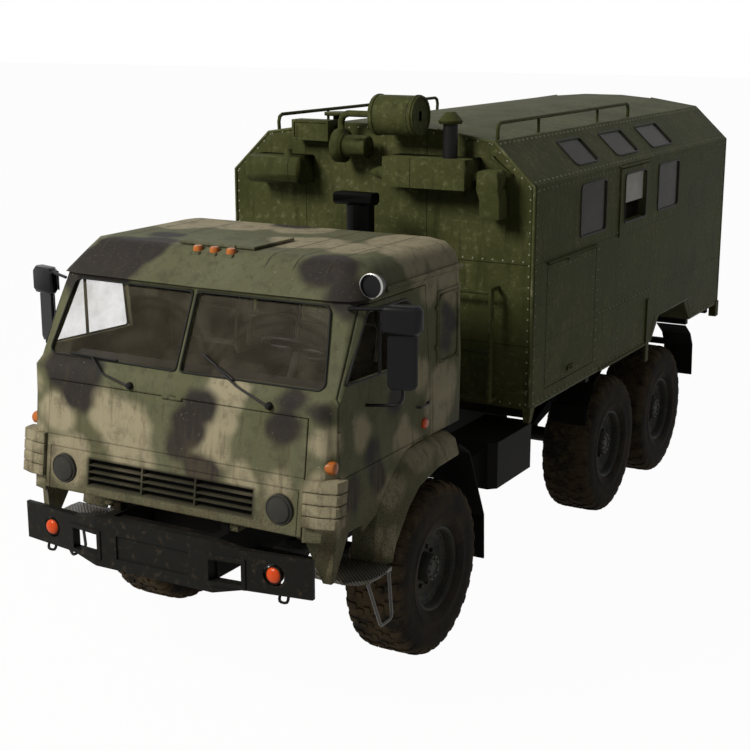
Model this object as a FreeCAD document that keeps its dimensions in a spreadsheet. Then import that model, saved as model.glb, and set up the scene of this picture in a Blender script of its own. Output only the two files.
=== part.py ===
import FreeCAD, Part
import Sketcher
import math
import os

# Six-wheel off-road truck with a cab over the engine and a closed van body, in millimetres.
# The truck faces -Y and its left side is +X. The origin is under the middle of the truck, on the ground.

os.makedirs("parts", exist_ok=True)
doc = FreeCAD.newDocument("military_cargo_truck")
Vector = FreeCAD.Vector
Rotation = FreeCAD.Rotation

# Driving sizes; those in quotes follow from others

SIZES = {
    # wheels and axles
    "tyre_diameter": 1190, "tyre_width": 430, "tyre_bore": 580, "lug_height": 30,
    "front_track_half": 990, "rear_track_half": 950, "kingpin_offset": 85,
    "axle_tube": 130, "diff_radius": 170, "hub_radius": 95,
    "axle_front_y": -2190, "wheelbase": 3340, "bogie_spread": 1320,
    "axle_z": "tyre_diameter / 2",
    "kingpin_x": "front_track_half - kingpin_offset",
    "axle_mid_y": "axle_front_y + wheelbase",
    "axle_rear_y": "axle_mid_y + bogie_spread",
    # frame
    "frame_half": 445, "rail_width": 75, "rail_height": 250, "ride_height": 305, "rear_overhang": 1130,
    "subframe_height": 185, "bearer_height": 75, "spring_width": 80, "spring_half": 720,
    "rail_low": "axle_z + ride_height",
    "rail_high": "rail_low + rail_height",
    "frame_rear_y": "axle_rear_y + rear_overhang",
    # cab
    "front_overhang": 1400, "cab_length": 1815, "cab_half": 1145, "cab_wall": 40, "cab_floor_rise": 390,
    "skirt_drop": 340, "belt_rise": 460, "window_rise": 575, "roof_rise": 208,
    "belt_setback": 120, "screen_low_setback": 153, "screen_high_setback": 394, "roof_setback": 640,
    "tilt_setback": 70, "tilt_rise": 50, "running_gap": 6, "glass_thickness": 6,
    "lid_inset": 165, "lid_height": 697, "lid_thickness": 36,
    "door_front_setback": 185, "door_rear_setback": 478, "fender_reach": 95,
    "nose_y": "axle_front_y - front_overhang",
    "cab_rear_y": "nose_y + cab_length",
    "cab_floor_z": "rail_high + cab_floor_rise",
    "cab_skirt_z": "cab_floor_z - skirt_drop",
    "cab_belt_z": "cab_floor_z + belt_rise",
    "screen_top_z": "cab_belt_z + window_rise",
    "cab_roof_z": "screen_top_z + roof_rise",
    "belt_y": "nose_y + belt_setback",
    "screen_low_y": "nose_y + screen_low_setback",
    "screen_high_y": "nose_y + screen_high_setback",
    "roof_front_y": "nose_y + roof_setback",
    "tilt_y": "nose_y + tilt_setback",
    "tilt_z": "rail_high + tilt_rise",
    "lid_half": "cab_half - lid_inset",
    "lid_low_z": "cab_skirt_z + 28",
    "lid_high_z": "lid_low_z + lid_height",
    "door_front_y": "nose_y + door_front_setback",
    "door_rear_y": "cab_rear_y - door_rear_setback",
    "door_low_z": "cab_floor_z + 15",
    "door_high_z": "screen_top_z - 25",
    "fender_half": "cab_half + fender_reach",
    # front bumper
    "bumper_reach": 150, "bumper_sweep": 100, "bumper_half": 1098, "bumper_centre_half": 450,
    "bumper_height": 248, "bumper_depth": 70, "bumper_drop": 22,
    "bumper_face_y": "nose_y - bumper_reach",
    "bumper_low": "rail_low - bumper_drop",
    "bumper_high": "bumper_low + bumper_height",
    "frame_front_y": "bumper_face_y + bumper_depth + 10",
    # van body
    "cab_van_gap": 845, "van_length": 4640, "van_half": 1280, "van_roof_half": 960,
    "side_height": 1630, "slope_rise": 300, "crown_rise": 90, "van_wall": 45, "van_floor_thickness": 80,
    "arch_setback": 560, "arch_length": 1110, "arch_height": 210, "arch_depth": 520,
    "van_door_half": 420, "van_door_height": 1430, "hatch_setback": 260, "hatch_length": 970,
    "hatch_height": 920, "edge_bevel": 26,
    "van_front_y": "cab_rear_y + cab_van_gap",
    "van_rear_y": "van_front_y + van_length",
    "van_floor_z": "rail_high + subframe_height + bearer_height",
    "van_shoulder_z": "van_floor_z + side_height",
    "van_roof_z": "van_shoulder_z + slope_rise",
    "arch_front_y": "axle_mid_y + arch_setback",
    "arch_rear_y": "arch_front_y + arch_length",
    "arch_z": "van_floor_z + arch_height",
    "van_door_low_z": "van_floor_z + 120",
    "van_door_high_z": "van_door_low_z + van_door_height",
    "hatch_front_y": "van_front_y + hatch_setback",
    "hatch_rear_y": "hatch_front_y + hatch_length",
    "hatch_low_z": "van_floor_z + 110",
    "hatch_high_z": "hatch_low_z + hatch_height",
}

sheet = doc.addObject("Spreadsheet::Sheet", "Sizes")
for row, (name, value) in enumerate(SIZES.items(), start=1):
    sheet.set(f"A{row}", name.replace("_", " "))
    sheet.set(f"B{row}", f"={value}" if isinstance(value, str) else str(value))
    sheet.setAlias(f"B{row}", name)
doc.recompute()


class Dim:
    """A length with the expression that ties it to the sheet."""

    def __init__(self, value, text):
        self.value = float(value)
        self.text = text

    def __add__(self, other):
        other = dim(other)
        return Dim(self.value + other.value, f"({self.text} + {other.text})")

    def __sub__(self, other):
        other = dim(other)
        return Dim(self.value - other.value, f"({self.text} - {other.text})")

    def __mul__(self, factor):
        factor = dim(factor)
        return Dim(self.value * factor.value, f"({self.text} * {factor.text})")

    def __truediv__(self, factor):
        factor = dim(factor)
        return Dim(self.value / factor.value, f"({self.text} / {factor.text})")

    def __radd__(self, other):
        return dim(other) + self

    def __rsub__(self, other):
        return dim(other) - self

    def __rmul__(self, other):
        return dim(other) * self

    def __neg__(self):
        return Dim(-self.value, f"(0 - {self.text})")


def dim(size):
    """A plain number becomes a Dim too."""
    if isinstance(size, Dim):
        return size
    return Dim(size, f"({float(size):.6f})")


def bind(thing, prop, size):
    thing.setExpression(prop, dim(size).text)


class Sheet:
    """The sheet's sizes by name."""

    def __getattr__(self, name):
        return Dim(float(sheet.get(name)), f"Sizes.{name}")


S = Sheet()

# Building blocks

TURNS = {"x": Rotation(Vector(0, 1, 0), 90), "y": Rotation(Vector(1, 0, 0), -90), "z": Rotation()}
OTHERS = {"x": "yz", "y": "xz", "z": "xy"}
pieces = []


def piece(label, thing):
    """Names a finished sub-part."""
    thing.Label = label
    pieces.append(thing)
    return thing


def box(x, y, z):
    """A block between the low and high values on each axis."""
    block = doc.addObject("Part::Box", "Block")
    for side, axis, (low, high) in zip(("Length", "Width", "Height"), "xyz", (x, y, z)):
        bind(block, side, dim(high) - low)
        bind(block, f"Placement.Base.{axis}", low)
    return block


def turned(kind, axis, at, low, radii):
    """A round or many-sided bar that starts at low and runs up an axis; at is its place across that axis."""
    bar = doc.addObject(kind, "Bar")
    bar.Placement.Rotation = TURNS[axis]
    for prop, radius in radii.items():
        bind(bar, prop, radius)
    bind(bar, f"Placement.Base.{axis}", low)
    for other, place in zip(OTHERS[axis], at):
        bind(bar, f"Placement.Base.{other}", place)
    return bar


def rod(axis, at, radius, low, high, sides=12):
    """A many-sided bar."""
    bar = turned("Part::Prism", axis, at, low, {"Circumradius": radius})
    bar.Polygon = sides
    bind(bar, "Height", dim(high) - low)
    return bar


def bore(axis, at, radius, low, high):
    """A truly round bar, for holes that a pin or a shaft fits."""
    bar = turned("Part::Cylinder", axis, at, low, {"Radius": radius})
    bind(bar, "Height", dim(high) - low)
    return bar


def draw(sketch, points):
    """Draws a closed outline whose every corner is tied to the sheet."""
    count = len(points)
    corners = [(dim(u), dim(v)) for u, v in points]
    for index in range(count):
        start = corners[index]
        end = corners[(index + 1) % count]
        sketch.addGeometry(Part.LineSegment(Vector(start[0].value, start[1].value, 0),
                                            Vector(end[0].value, end[1].value, 0)), False)
    for index in range(count):
        sketch.addConstraint(Sketcher.Constraint("Coincident", index, 2, (index + 1) % count, 1))
    for index, corner in enumerate(corners):
        for kind, size in zip(("DistanceX", "DistanceY"), corner):
            number = sketch.addConstraint(Sketcher.Constraint(kind, index, 1, size.value))
            bind(sketch, f"Constraints[{number}]", size)


def outline(plane, points, low, high):
    """A flat outline on a plane, padded from low to high across it."""
    body = doc.addObject("PartDesign::Body", "Outline")
    sketch = body.newObject("Sketcher::SketchObject", "Edge")
    role = plane.upper() + "_Plane"
    support = [feature for feature in body.Origin.OriginFeatures if feature.Role == role]
    sketch.AttachmentSupport = [(support[0], "")]
    sketch.MapMode = "FlatFace"
    backwards = plane == "xz"
    bind(sketch, "AttachmentOffset.Base.z", -dim(low) if backwards else low)
    draw(sketch, points)
    pad = body.newObject("PartDesign::Pad", "Pad")
    pad.Profile = sketch
    bind(pad, "Length", dim(high) - low)
    pad.Reversed = backwards
    return body


def skin(loops):
    """A solid with flat walls between outlines of equal corner counts, given as points in space.

    A wall that isn't flat is folded along its shorter diagonal, so both sides of the truck fold alike.
    """
    loops = [[Vector(*[dim(value).value for value in point]) for point in loop] for loop in loops]
    faces = [Part.Face(Part.makePolygon(loop + loop[:1])) for loop in (loops[0], loops[-1])]
    for loop, above in zip(loops, loops[1:]):
        for index, corner in enumerate(loop):
            beside = (index + 1) % len(loop)
            quad = [corner, loop[beside], above[beside], above[index]]
            normal = (quad[1] - quad[0]).cross(quad[3] - quad[0]).normalize()
            if abs(normal.dot(quad[2] - quad[0])) < 0.001:
                parts = [quad]
            elif (quad[2] - quad[0]).Length < (quad[3] - quad[1]).Length:
                parts = [quad[:3], [quad[0], quad[2], quad[3]]]
            else:
                parts = [quad[1:], [quad[0], quad[1], quad[3]]]
            faces += [Part.Face(Part.makePolygon(part + part[:1])) for part in parts]
    return made(solid_of(faces))


def turned_form(axis, at, sections, sides):
    """A solid many-sided turned form along X or Z, from (radius, place) pairs."""
    loops = []
    for radius, place in sections:
        loop = []
        for side in range(sides):
            angle = 2 * math.pi * side / sides
            u = radius * math.cos(angle) + at[0]
            v = radius * math.sin(angle) + at[1]
            loop.append((place, u, v) if axis == "x" else (u, v, place))
        loops.append(loop)
    return skin(loops)


def loft(sections):
    """Flat walls between level outlines, each given as its height and its points."""
    return skin([[(x, y, height) for x, y in points] for height, points in sections])


def fuse(*things):
    joined = doc.addObject("Part::MultiFuse", "Joined")
    joined.Shapes = list(things)
    joined.Refine = True
    return joined


def common(*things):
    shared = doc.addObject("Part::MultiCommon", "Shared")
    shared.Shapes = list(things)
    shared.Refine = True
    return shared


def cut(base, *tools):
    result = doc.addObject("Part::Cut", "Cut")
    result.Base = base
    result.Tool = tools[0] if len(tools) == 1 else fuse(*tools)
    result.Refine = True
    return result


def mirror(thing):
    """The same thing on the truck's other side."""
    twin = doc.addObject("Part::Mirroring", "Twin")
    twin.Source = thing
    twin.Normal = Vector(1, 0, 0)
    return twin


def pair(thing):
    return [thing, mirror(thing)]


def group(*things):
    """Solids of one piece that don't touch each other."""
    together = doc.addObject("Part::Compound", "Group")
    together.Links = list(things)
    return together


def made(shape):
    """A shape from Part's own functions, its sizes read from the sheet."""
    feature = doc.addObject("Part::Feature", "Made")
    feature.Shape = shape
    return feature


def solid_of(faces):
    """A solid from the flat faces that close it, whichever way round they were drawn."""
    solid = Part.Solid(Part.Shell(faces))
    if solid.Volume < 0:
        solid.reverse()
    return solid


def tube(path, radius, sides, closed=False):
    """A many-sided bar along straight runs, mitred where they meet."""
    count = len(path)
    runs = [(path[(index + 1) % count] - path[index]).normalize() for index in range(count)]
    if not closed:
        runs[-1] = runs[-2]
    across = runs[0].cross(Vector(0, 0, 1))
    if across.Length < 0.1:
        across = runs[0].cross(Vector(1, 0, 0))
    across.normalize()
    beside = runs[0].cross(across)
    loop = []
    for side in range(sides):
        angle = 2 * math.pi * (side + 0.5) / sides
        loop.append(path[0] + across * (radius * math.cos(angle)) + beside * (radius * math.sin(angle)))
    if closed:
        loop = slid(loop, path[0], runs[0], runs[-1] + runs[0])
    loops = [loop]
    for index in range(1, count):
        loop = slid(loop, path[index], runs[index - 1], runs[index - 1] + runs[index])
        loops.append(loop)
    faces = []
    for first, second in zip(loops, loops[1:] + loops[:1] if closed else loops[1:]):
        for side in range(sides):
            following = (side + 1) % sides
            quad = [first[side], first[following], second[following], second[side]]
            faces.append(Part.Face(Part.makePolygon(quad + quad[:1])))
    if not closed:
        faces += [Part.Face(Part.makePolygon(loop + loop[:1])) for loop in (loops[0], loops[-1])]
    return made(solid_of(faces))


def slid(loop, at, run, normal):
    """A ring of points slid along a run onto the plane through a point."""
    return [point + run * ((at - point).dot(normal) / run.dot(normal)) for point in loop]


def pipe(points, radius, bend, sides=8):
    """A bar along straight runs whose corners are rounded in three short mitred runs."""
    corners = [Vector(*[dim(value).value for value in point]) for point in points]
    bend = dim(bend).value
    path = [corners[0]]
    for before, corner, after in zip(corners, corners[1:], corners[2:]):
        back = (before - corner).normalize()
        ahead = (after - corner).normalize()
        half = back.getAngle(ahead) / 2
        reach = bend / math.tan(half)
        middle = corner + (back + ahead).normalize() * (bend / math.sin(half) - bend)
        path += [corner + back * reach, middle, corner + ahead * reach]
    path.append(corners[-1])
    return tube(path, dim(radius).value, sides)


def rings(sides, sections):
    """A many-sided turned form about the Z axis, from (radius, height) pairs; it closes on itself."""
    loops = []
    for radius, height in sections:
        radius = dim(radius).value
        height = dim(height).value
        loops.append([Vector(radius * math.cos(2 * math.pi * side / sides),
                             radius * math.sin(2 * math.pi * side / sides), height)
                      for side in range(sides)])
    faces = []
    for loop, following in zip(loops, loops[1:] + loops[:1]):
        for side in range(sides):
            beside = (side + 1) % sides
            corners = [loop[side], loop[beside], following[beside], following[side]]
            faces.append(Part.Face(Part.makePolygon(corners + corners[:1])))
    return made(solid_of(faces))


def placed(thing, x, y, z, turn):
    """A copy of a turned piece on its axle."""
    copy = group(thing)
    copy.Placement.Rotation = turn
    bind(copy, "Placement.Base.x", x)
    bind(copy, "Placement.Base.y", y)
    bind(copy, "Placement.Base.z", z)
    return copy


def grow(points, y, z):
    """Moves each corner of a side view outwards, away from a middle point, by the running gap."""
    moved = []
    for u, v in points:
        step_u = S.running_gap if dim(u).value > y else -S.running_gap
        step_v = S.running_gap if dim(v).value > z else -S.running_gap
        moved.append((u + step_u, v + step_v))
    return moved


# Wheels: a tyre with block lugs over its shoulders, on a dished rim

LUGS = 13
root = S.axle_z - S.lug_height
half_width = S.tyre_width / 2
facet = math.cos(math.pi / (2 * LUGS))

carcass = rings(2 * LUGS, (
    (S.tyre_bore / 2, -half_width + 30),
    (root - 105, -half_width),
    (root, -half_width + 22),
    (root, half_width - 22),
    (root - 105, half_width),
    (S.tyre_bore / 2, half_width - 30),
))


def lug_row(side):
    """One row of lugs, each on its own flat of the tread, from the middle over the shoulder."""
    pitch = 360 / LUGS
    angle = pitch / 4 + (pitch / 2 if side < 0 else 0)
    wide = 2 * root.value * math.sin(math.radians(pitch / 4))
    low = root.value * facet - 4
    tip = S.axle_z.value
    edge = half_width.value
    corners = [(low, 12), (tip, 12), (tip, edge - 34), (low - 36, edge)]
    flat = Part.Face(Part.makePolygon([Vector(r, -wide / 2, side * x) for r, x in corners + corners[:1]]))
    lug = flat.extrude(Vector(0, wide, 0))
    return [lug.rotated(Vector(), Vector(0, 0, 1), angle + pitch * number) for number in range(LUGS)]


tyre = fuse(carcass, *[made(lug) for side in (1, -1) for lug in lug_row(side)])

RIM_SIDES = 20
rim_radius = S.tyre_bore / 2 * facet - 0.5
rim_back = -half_width + 40
rim_face = half_width - 34
dish_floor = rim_face - 105
rim = fuse(
    rings(RIM_SIDES, (
        (rim_radius, rim_back),
        (rim_radius, rim_face),
        (rim_radius - 22, rim_face),
        (S.hub_radius + 55, dish_floor),
        (S.hub_radius - 10, dish_floor),
        (S.hub_radius - 10, dish_floor - 20),
        (rim_radius - 30, dish_floor - 12),
        (rim_radius - 30, rim_back),
    )),
    rod("z", (0, 0), S.hub_radius, dish_floor - 20, rim_face - 25),
)

WHEELS = (("front", S.axle_front_y, S.front_track_half), ("mid", S.axle_mid_y, S.rear_track_half),
          ("rear", S.axle_rear_y, S.rear_track_half))
for place, axle_y, track in WHEELS:
    for side, sign in (("left", 1), ("right", -1)):
        turn = Rotation(Vector(0, 1, 0), 90 * sign) * Rotation(Vector(0, 0, 1), -90 / LUGS)
        for name, form in (("tyre", tyre), ("rim", rim)):
            copy = placed(form, track * sign, axle_y, S.axle_z, turn)
            piece(f"{place}_{side}_{name}", copy)

# Axles: tubes with a round housing in the middle, and forks at the steered ends

axle_z = S.axle_z
front = S.axle_front_y
tube_radius = S.axle_tube / 2
housing_half = S.diff_radius + 15
seat_z = axle_z + tube_radius
front_hub_x = S.front_track_half + dish_floor - 20
rear_hub_x = S.rear_track_half + dish_floor - 20
spring_in = S.frame_half - S.spring_width


def housing(axle_y):
    """The gear housing in the middle of an axle with flat noses for the shafts."""
    drum = rod("x", (axle_y, axle_z), S.diff_radius, -100, 100, 16)
    return [drum, box((-75, 75), (axle_y - housing_half, axle_y + housing_half), (axle_z + 20, axle_z + 160))]


ear_inner = 96
ear_outer = 122
fork_y = (front - 45, front + 45)
fork = [
    box((S.kingpin_x - 55, S.kingpin_x + 45), fork_y, (axle_z + ear_inner, axle_z + ear_outer)),
    box((S.kingpin_x - 55, S.kingpin_x + 45), fork_y, (axle_z - ear_outer, axle_z - ear_inner)),
    box((S.kingpin_x - 85, S.kingpin_x - 55), (front - 60, front + 60), (axle_z - ear_outer, axle_z + ear_outer)),
    box((spring_in, S.frame_half), (front - 60, front + 60), (axle_z, seat_z)),
]
front_tube = rod("x", (front, axle_z), tube_radius, -(S.kingpin_x - 60), S.kingpin_x - 60)
piece("front_axle", fuse(front_tube, *housing(front), *[half for part in fork for half in pair(part)]))

rear_parts = []
for axle_y in (S.axle_mid_y, S.axle_rear_y):
    axle_bar = rod("x", (axle_y, axle_z), tube_radius, -rear_hub_x, rear_hub_x)
    pad = box((spring_in, S.frame_half), (axle_y - 60, axle_y + 60), (axle_z, seat_z))
    rear_parts.append(fuse(axle_bar, *housing(axle_y), *pair(pad)))
piece("rear_axles", group(*rear_parts))

knuckle = fuse(
    rod("z", (S.kingpin_x, front), 42, axle_z - ear_inner + 0.5, axle_z + ear_inner - 0.5),
    rod("x", (front, axle_z), 55, S.kingpin_x, front_hub_x),
    rod("x", (front, axle_z), S.hub_radius - 12, front_hub_x - 30, front_hub_x),
)
piece("left_knuckle", group(knuckle))
piece("right_knuckle", mirror(knuckle))

# Leaf springs: bowed packs in front, a balanced pack between the rear axles

front_spring = outline("yz", [
    (front - S.spring_half, S.rail_low), (front - S.spring_half, S.rail_low - 40),
    (front - 260, seat_z + 40), (front - 120, seat_z), (front + 120, seat_z), (front + 260, seat_z + 40),
    (front + S.spring_half, S.rail_low - 40), (front + S.spring_half, S.rail_low),
    (front + 330, seat_z + 115), (front + 100, seat_z + 95), (front - 100, seat_z + 95),
    (front - 330, seat_z + 115)], spring_in, S.frame_half)
between = (S.axle_mid_y + S.axle_rear_y) / 2
rear_spring = outline("yz", [
    (S.axle_mid_y - 60, seat_z), (S.axle_mid_y + 60, seat_z), (between - 130, S.rail_low - 130),
    (between + 130, S.rail_low - 130), (S.axle_rear_y - 60, seat_z), (S.axle_rear_y + 60, seat_z),
    (S.axle_rear_y + 60, seat_z + 40), (between + 130, S.rail_low), (between - 130, S.rail_low),
    (S.axle_mid_y - 60, seat_z + 40)], spring_in, S.frame_half)
piece("leaf_springs", group(*pair(front_spring), *pair(rear_spring)))

# Frame: two rails that carry the van's subframe and the cab's mounts, cross members, van bearers, tow hook

nose = S.nose_y
cab_rear = S.cab_rear_y
rail_in = S.frame_half - S.rail_width
rail = box((rail_in, S.frame_half), (S.frame_front_y, S.frame_rear_y), (S.rail_low, S.rail_high))
bearer_low = S.van_floor_z - S.bearer_height
sub_rail = box((rail_in, S.frame_half), (S.van_front_y + 30, S.frame_rear_y), (S.rail_high, bearer_low))
crosses = [box((-rail_in, rail_in), (y, y + 90), (S.rail_low + 60, S.rail_high - 20))
           for y in (S.frame_front_y + 20, S.van_front_y + 60, between - 45, S.frame_rear_y - 90)]
bearers = [box((-(S.van_half - 60), S.van_half - 60), (y, y + 70), (bearer_low, S.van_floor_z))
           for y in (S.van_front_y + 40, S.van_front_y + 1250, S.arch_rear_y + 80, S.frame_rear_y - 75)]
leg_in = S.frame_half + 10
leg_out = leg_in + 60
cab_post = box((rail_in, leg_out), (cab_rear - 130, cab_rear - 30), (S.rail_high, S.cab_floor_z - 100.3))
tilt_ear = fuse(box((rail_in + 20, S.frame_half), (S.tilt_y - 28, S.tilt_y + 28), (S.rail_high, S.tilt_z)),
                rod("x", (S.tilt_y, S.tilt_z), 28, rail_in + 20, S.frame_half))
tilt_bore = rod("x", (S.tilt_y, S.tilt_z), 16.2, rail_in + 20, S.frame_half)
piece("frame_rails", group(*pair(fuse(rail, sub_rail, cab_post, cut(tilt_ear, tilt_bore)))))

hook_z = (S.rail_low + S.rail_high) / 2
hook_at = (S.frame_rear_y + 95, hook_z)
hook_plate = box((-120, 120), (S.frame_rear_y, S.frame_rear_y + 20), (hook_z - 90, hook_z + 90))
hook_stem = rod("y", (0, hook_z), 32, S.frame_rear_y, S.frame_rear_y + 70)
hook_eye = cut(rod("x", hook_at, 48, -22, 22, 16), bore("x", hook_at, 22, -22, 22))
piece("cross_members", group(*crosses[:-1], fuse(crosses[-1], hook_plate, hook_stem, hook_eye), *bearers))

# Powertrain: engine and gearbox as plain blocks, transfer case and shafts

engine = box((-320, 320), (nose + 290, cab_rear - 225), (S.rail_low - 80, S.cab_floor_z - 40))
mounts = [box((-rail_in, rail_in), (y, y + 100), (S.rail_low + 60, S.rail_low + 150))
          for y in (nose + 400, cab_rear - 400)]
gearbox = box((-210, 210), (cab_rear - 225, cab_rear + 300), (S.rail_low - 50, S.rail_high + 90))
case_front = S.van_front_y + 370
case = box((-rail_in, rail_in), (case_front, case_front + 480), (S.rail_low - 265, S.rail_high - 60))
case_link = rod("y", (0, S.rail_low), 50, cab_rear + 300, case_front)
shaft_z = axle_z + 90
shafts = [rod("y", (0, shaft_z), 42, low, high) for low, high in (
    (front + housing_half, case_front), (case_front + 480, S.axle_mid_y - housing_half))]
last_shaft = rod("y", (0, shaft_z), 42, S.axle_mid_y + housing_half, S.axle_rear_y - housing_half)
piece("powertrain", group(fuse(engine, *mounts, gearbox, case, case_link, *shafts), last_shaft))

# Front bumper: a beam swept back at its ends, with framed tow openings, a plate recess and lamp holes

bumper_mid = (S.bumper_low + S.bumper_high) / 2
sweep_y = S.bumper_face_y + S.bumper_sweep
centre_half = S.bumper_centre_half
flare_half = centre_half + 200


def swept(front_shift, depth, end_depth):
    """The beam's outline from above, with its front moved and its depths at the middle and at the ends."""
    left = [(centre_half, S.bumper_face_y + front_shift), (S.bumper_half, sweep_y + front_shift),
            (S.bumper_half, sweep_y + end_depth), (centre_half, S.bumper_face_y + depth)]
    return left + [(-x, y) for x, y in reversed(left)]


front_view = [(-S.bumper_half, S.bumper_low), (-flare_half, S.bumper_low), (-centre_half, S.bumper_low - 45),
              (centre_half, S.bumper_low - 45), (flare_half, S.bumper_low), (S.bumper_half, S.bumper_low)]
front_view += [(S.bumper_half, S.bumper_high), (flare_half, S.bumper_high), (centre_half, S.bumper_high + 35),
               (-centre_half, S.bumper_high + 35), (-flare_half, S.bumper_high), (-S.bumper_half, S.bumper_high)]
beam = common(outline("xy", swept(0, S.bumper_depth, 30), S.bumper_low - 45, S.bumper_high + 35),
              outline("xz", front_view, S.bumper_face_y, sweep_y + S.bumper_depth))
slot_frame = common(outline("xy", swept(-8, 20, 12), S.bumper_low - 10, S.bumper_high + 10),
                    group(*pair(box((402, 674), (S.bumper_face_y - 10, sweep_y + 20),
                                    (bumper_mid - 122, bumper_mid + 72)))))
tow_slot = box((430, 646), (S.bumper_face_y - 10, sweep_y + S.bumper_depth), (bumper_mid - 94, bumper_mid + 44))
plate_recess = box((-280, 280), (S.bumper_face_y - 4, S.bumper_face_y + 12), (bumper_mid - 97, bumper_mid + 58))
lamp_x = 853
lamp_hole = rod("y", (lamp_x, bumper_mid), 70, S.bumper_face_y, sweep_y + S.bumper_depth, 16)
tow_loop = pipe([(S.bumper_half - 230, sweep_y + 12, S.bumper_low + 4), (S.bumper_half - 230, sweep_y - 8, S.bumper_low - 50),
                 (S.bumper_half - 170, sweep_y - 8, S.bumper_low - 50),
                 (S.bumper_half - 170, sweep_y + 12, S.bumper_low + 4)], 9, 18, 6)
stand = box((rail_in, S.frame_half), (S.bumper_face_y + S.bumper_depth - 2, S.frame_front_y),
            (S.rail_low, S.bumper_high - 10))
piece("front_bumper", fuse(cut(fuse(beam, slot_frame), plate_recess, *pair(tow_slot), *pair(lamp_hole)),
                           *pair(stand), *pair(tow_loop)))

lamp_back = sweep_y + 9
lamp_strap = box((lamp_x - 15, lamp_x + 15), (lamp_back + 0.3, lamp_back + 12), (bumper_mid - 95, bumper_mid + 95))
fog_lamp = rod("y", (lamp_x, bumper_mid), 52, sweep_y - 34, lamp_back + 4, 16)
piece("fog_lamps", group(*pair(fuse(fog_lamp, lamp_strap))))

# Cab shell: flat walls between sections that lean back above the belt, under a roof cap that overhangs them.
# The wall folds in at the front corners; doors and panes are cut from the same walls, so they lie flush.

WALL = S.cab_wall
half = S.cab_half


def cab_form(inset):
    """The cab's outer form, drawn in by an inset; only the outer form has the overhanging roof edge."""
    lip = 1 if inset is None else 0
    inset = dim(inset or 0)

    def level(z, middle_y, corners, side_x, rear_y):
        (x1, y1), (x2, y2), y3 = corners
        one_side = [(x1 - inset * 0.3, y1 + inset), (x2 - inset * 0.75, y2 + inset * 0.75),
                    (side_x - inset, y3 + inset * 0.3), (side_x - inset, rear_y - 35 - inset * 0.4),
                    (side_x - 35 - inset * 0.4, rear_y - inset)]
        return z, [(0, middle_y + inset)] + one_side + [(-x, y) for x, y in reversed(one_side)]

    belt = S.belt_y
    low = S.screen_low_y
    high = S.screen_high_y
    roof = S.roof_front_y
    top = S.screen_top_z
    return loft([
        level(S.cab_skirt_z - 50, nose, ((half - 155, nose + 8), (half - 45, nose + 42), nose + 140), half,
              cab_rear - 25),
        level(S.cab_belt_z, belt, ((half - 115, belt + 4), (half - 35, belt + 20), belt + 45), half, cab_rear),
        level(S.cab_belt_z + 45, low, ((half - 100, low + 18), (half - 30, low + 42), low + 75), half,
              cab_rear - 5),
        level(top, high, ((half - 185, high + 25), (half - 75, high + 52), high + 150), half, cab_rear - 45),
        level(top + 2, high - 26 * lip, ((half - 185 + 5 * lip, high + 25 - 27 * lip),
                                         (half - 75 + 10 * lip, high + 52 - 24 * lip), high + 150 - 10 * lip),
              half + 8 * lip, cab_rear - 45),
        level(S.cab_roof_z - 83 - inset * 0.25, roof - 150,
              ((half - 185, roof - 125), (half - 105, roof - 50), roof + 90), half - 20, cab_rear - 60),
        level(S.cab_roof_z - 18 - inset * 0.7, roof - 60,
              ((half - 245, roof - 40), (half - 145, roof + 20), roof + 120), half - 85, cab_rear - 80),
        level(S.cab_roof_z - inset, roof, ((half - 295, roof + 20), (half - 215, roof + 70), roof + 160),
              half - 185, cab_rear - 101),
    ])


def nose_at(z):
    """How far forward the front panel is at a height."""
    return nose + (z - S.cab_skirt_z + 50) * lean


def on_nose(low, high, out, deep, x_low, x_high):
    """A slab that leans with the front panel, from out in front of it to deep behind it."""
    return outline("yz", [(nose_at(low) - out, low), (nose_at(low) + deep, low), (nose_at(high) + deep, high),
                          (nose_at(high) - out, high)], x_low, x_high)


def fender_line(drop):
    """The edge of the cab's side over the front wheel, from its front down-point to its flat floor."""
    floor = S.cab_floor_z - drop
    return [(front - 948, floor - 387), (front - 772, floor - 327), (front - 636, floor - 180),
            (front - 403, floor - 21)]


lean = (S.belt_y - nose) / (S.cab_belt_z - S.cab_skirt_z + 50)
gap = S.running_gap
floor_z = S.cab_floor_z
across = (-half - 10, half + 10)
cab_outer = cab_form(None)
cab_core = cab_form(WALL)
cab_skin = cut(cab_outer, cab_core)
cab_inner = common(cab_core, box((-half, half), (nose, cab_rear), (floor_z + WALL, S.cab_roof_z)))
cab_under = common(cab_core, box((-half, half), (nose, cab_rear), (S.cab_skirt_z - 60, floor_z)))
below = outline("yz", [(front - 1045, S.cab_skirt_z - 60)] + [(front - 1045, floor_z - 387)] + fender_line(0)
                + [(front - 300, floor_z), (cab_rear + 10, floor_z), (cab_rear + 10, S.cab_skirt_z - 60)], *across)
nose_cut = box(across, (nose - 50, front - 948), (S.cab_skirt_z - 60, S.cab_skirt_z))
lid_room = on_nose(S.lid_low_z - 60, S.lid_high_z + gap, 60, S.lid_thickness + gap, -S.lid_half - gap,
                   S.lid_half + gap)
service_hole = box((-S.lid_half + 50, S.lid_half - 50), (nose - 50, nose + 260),
                   (S.cab_skirt_z - 60, S.lid_high_z - 60))

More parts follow.
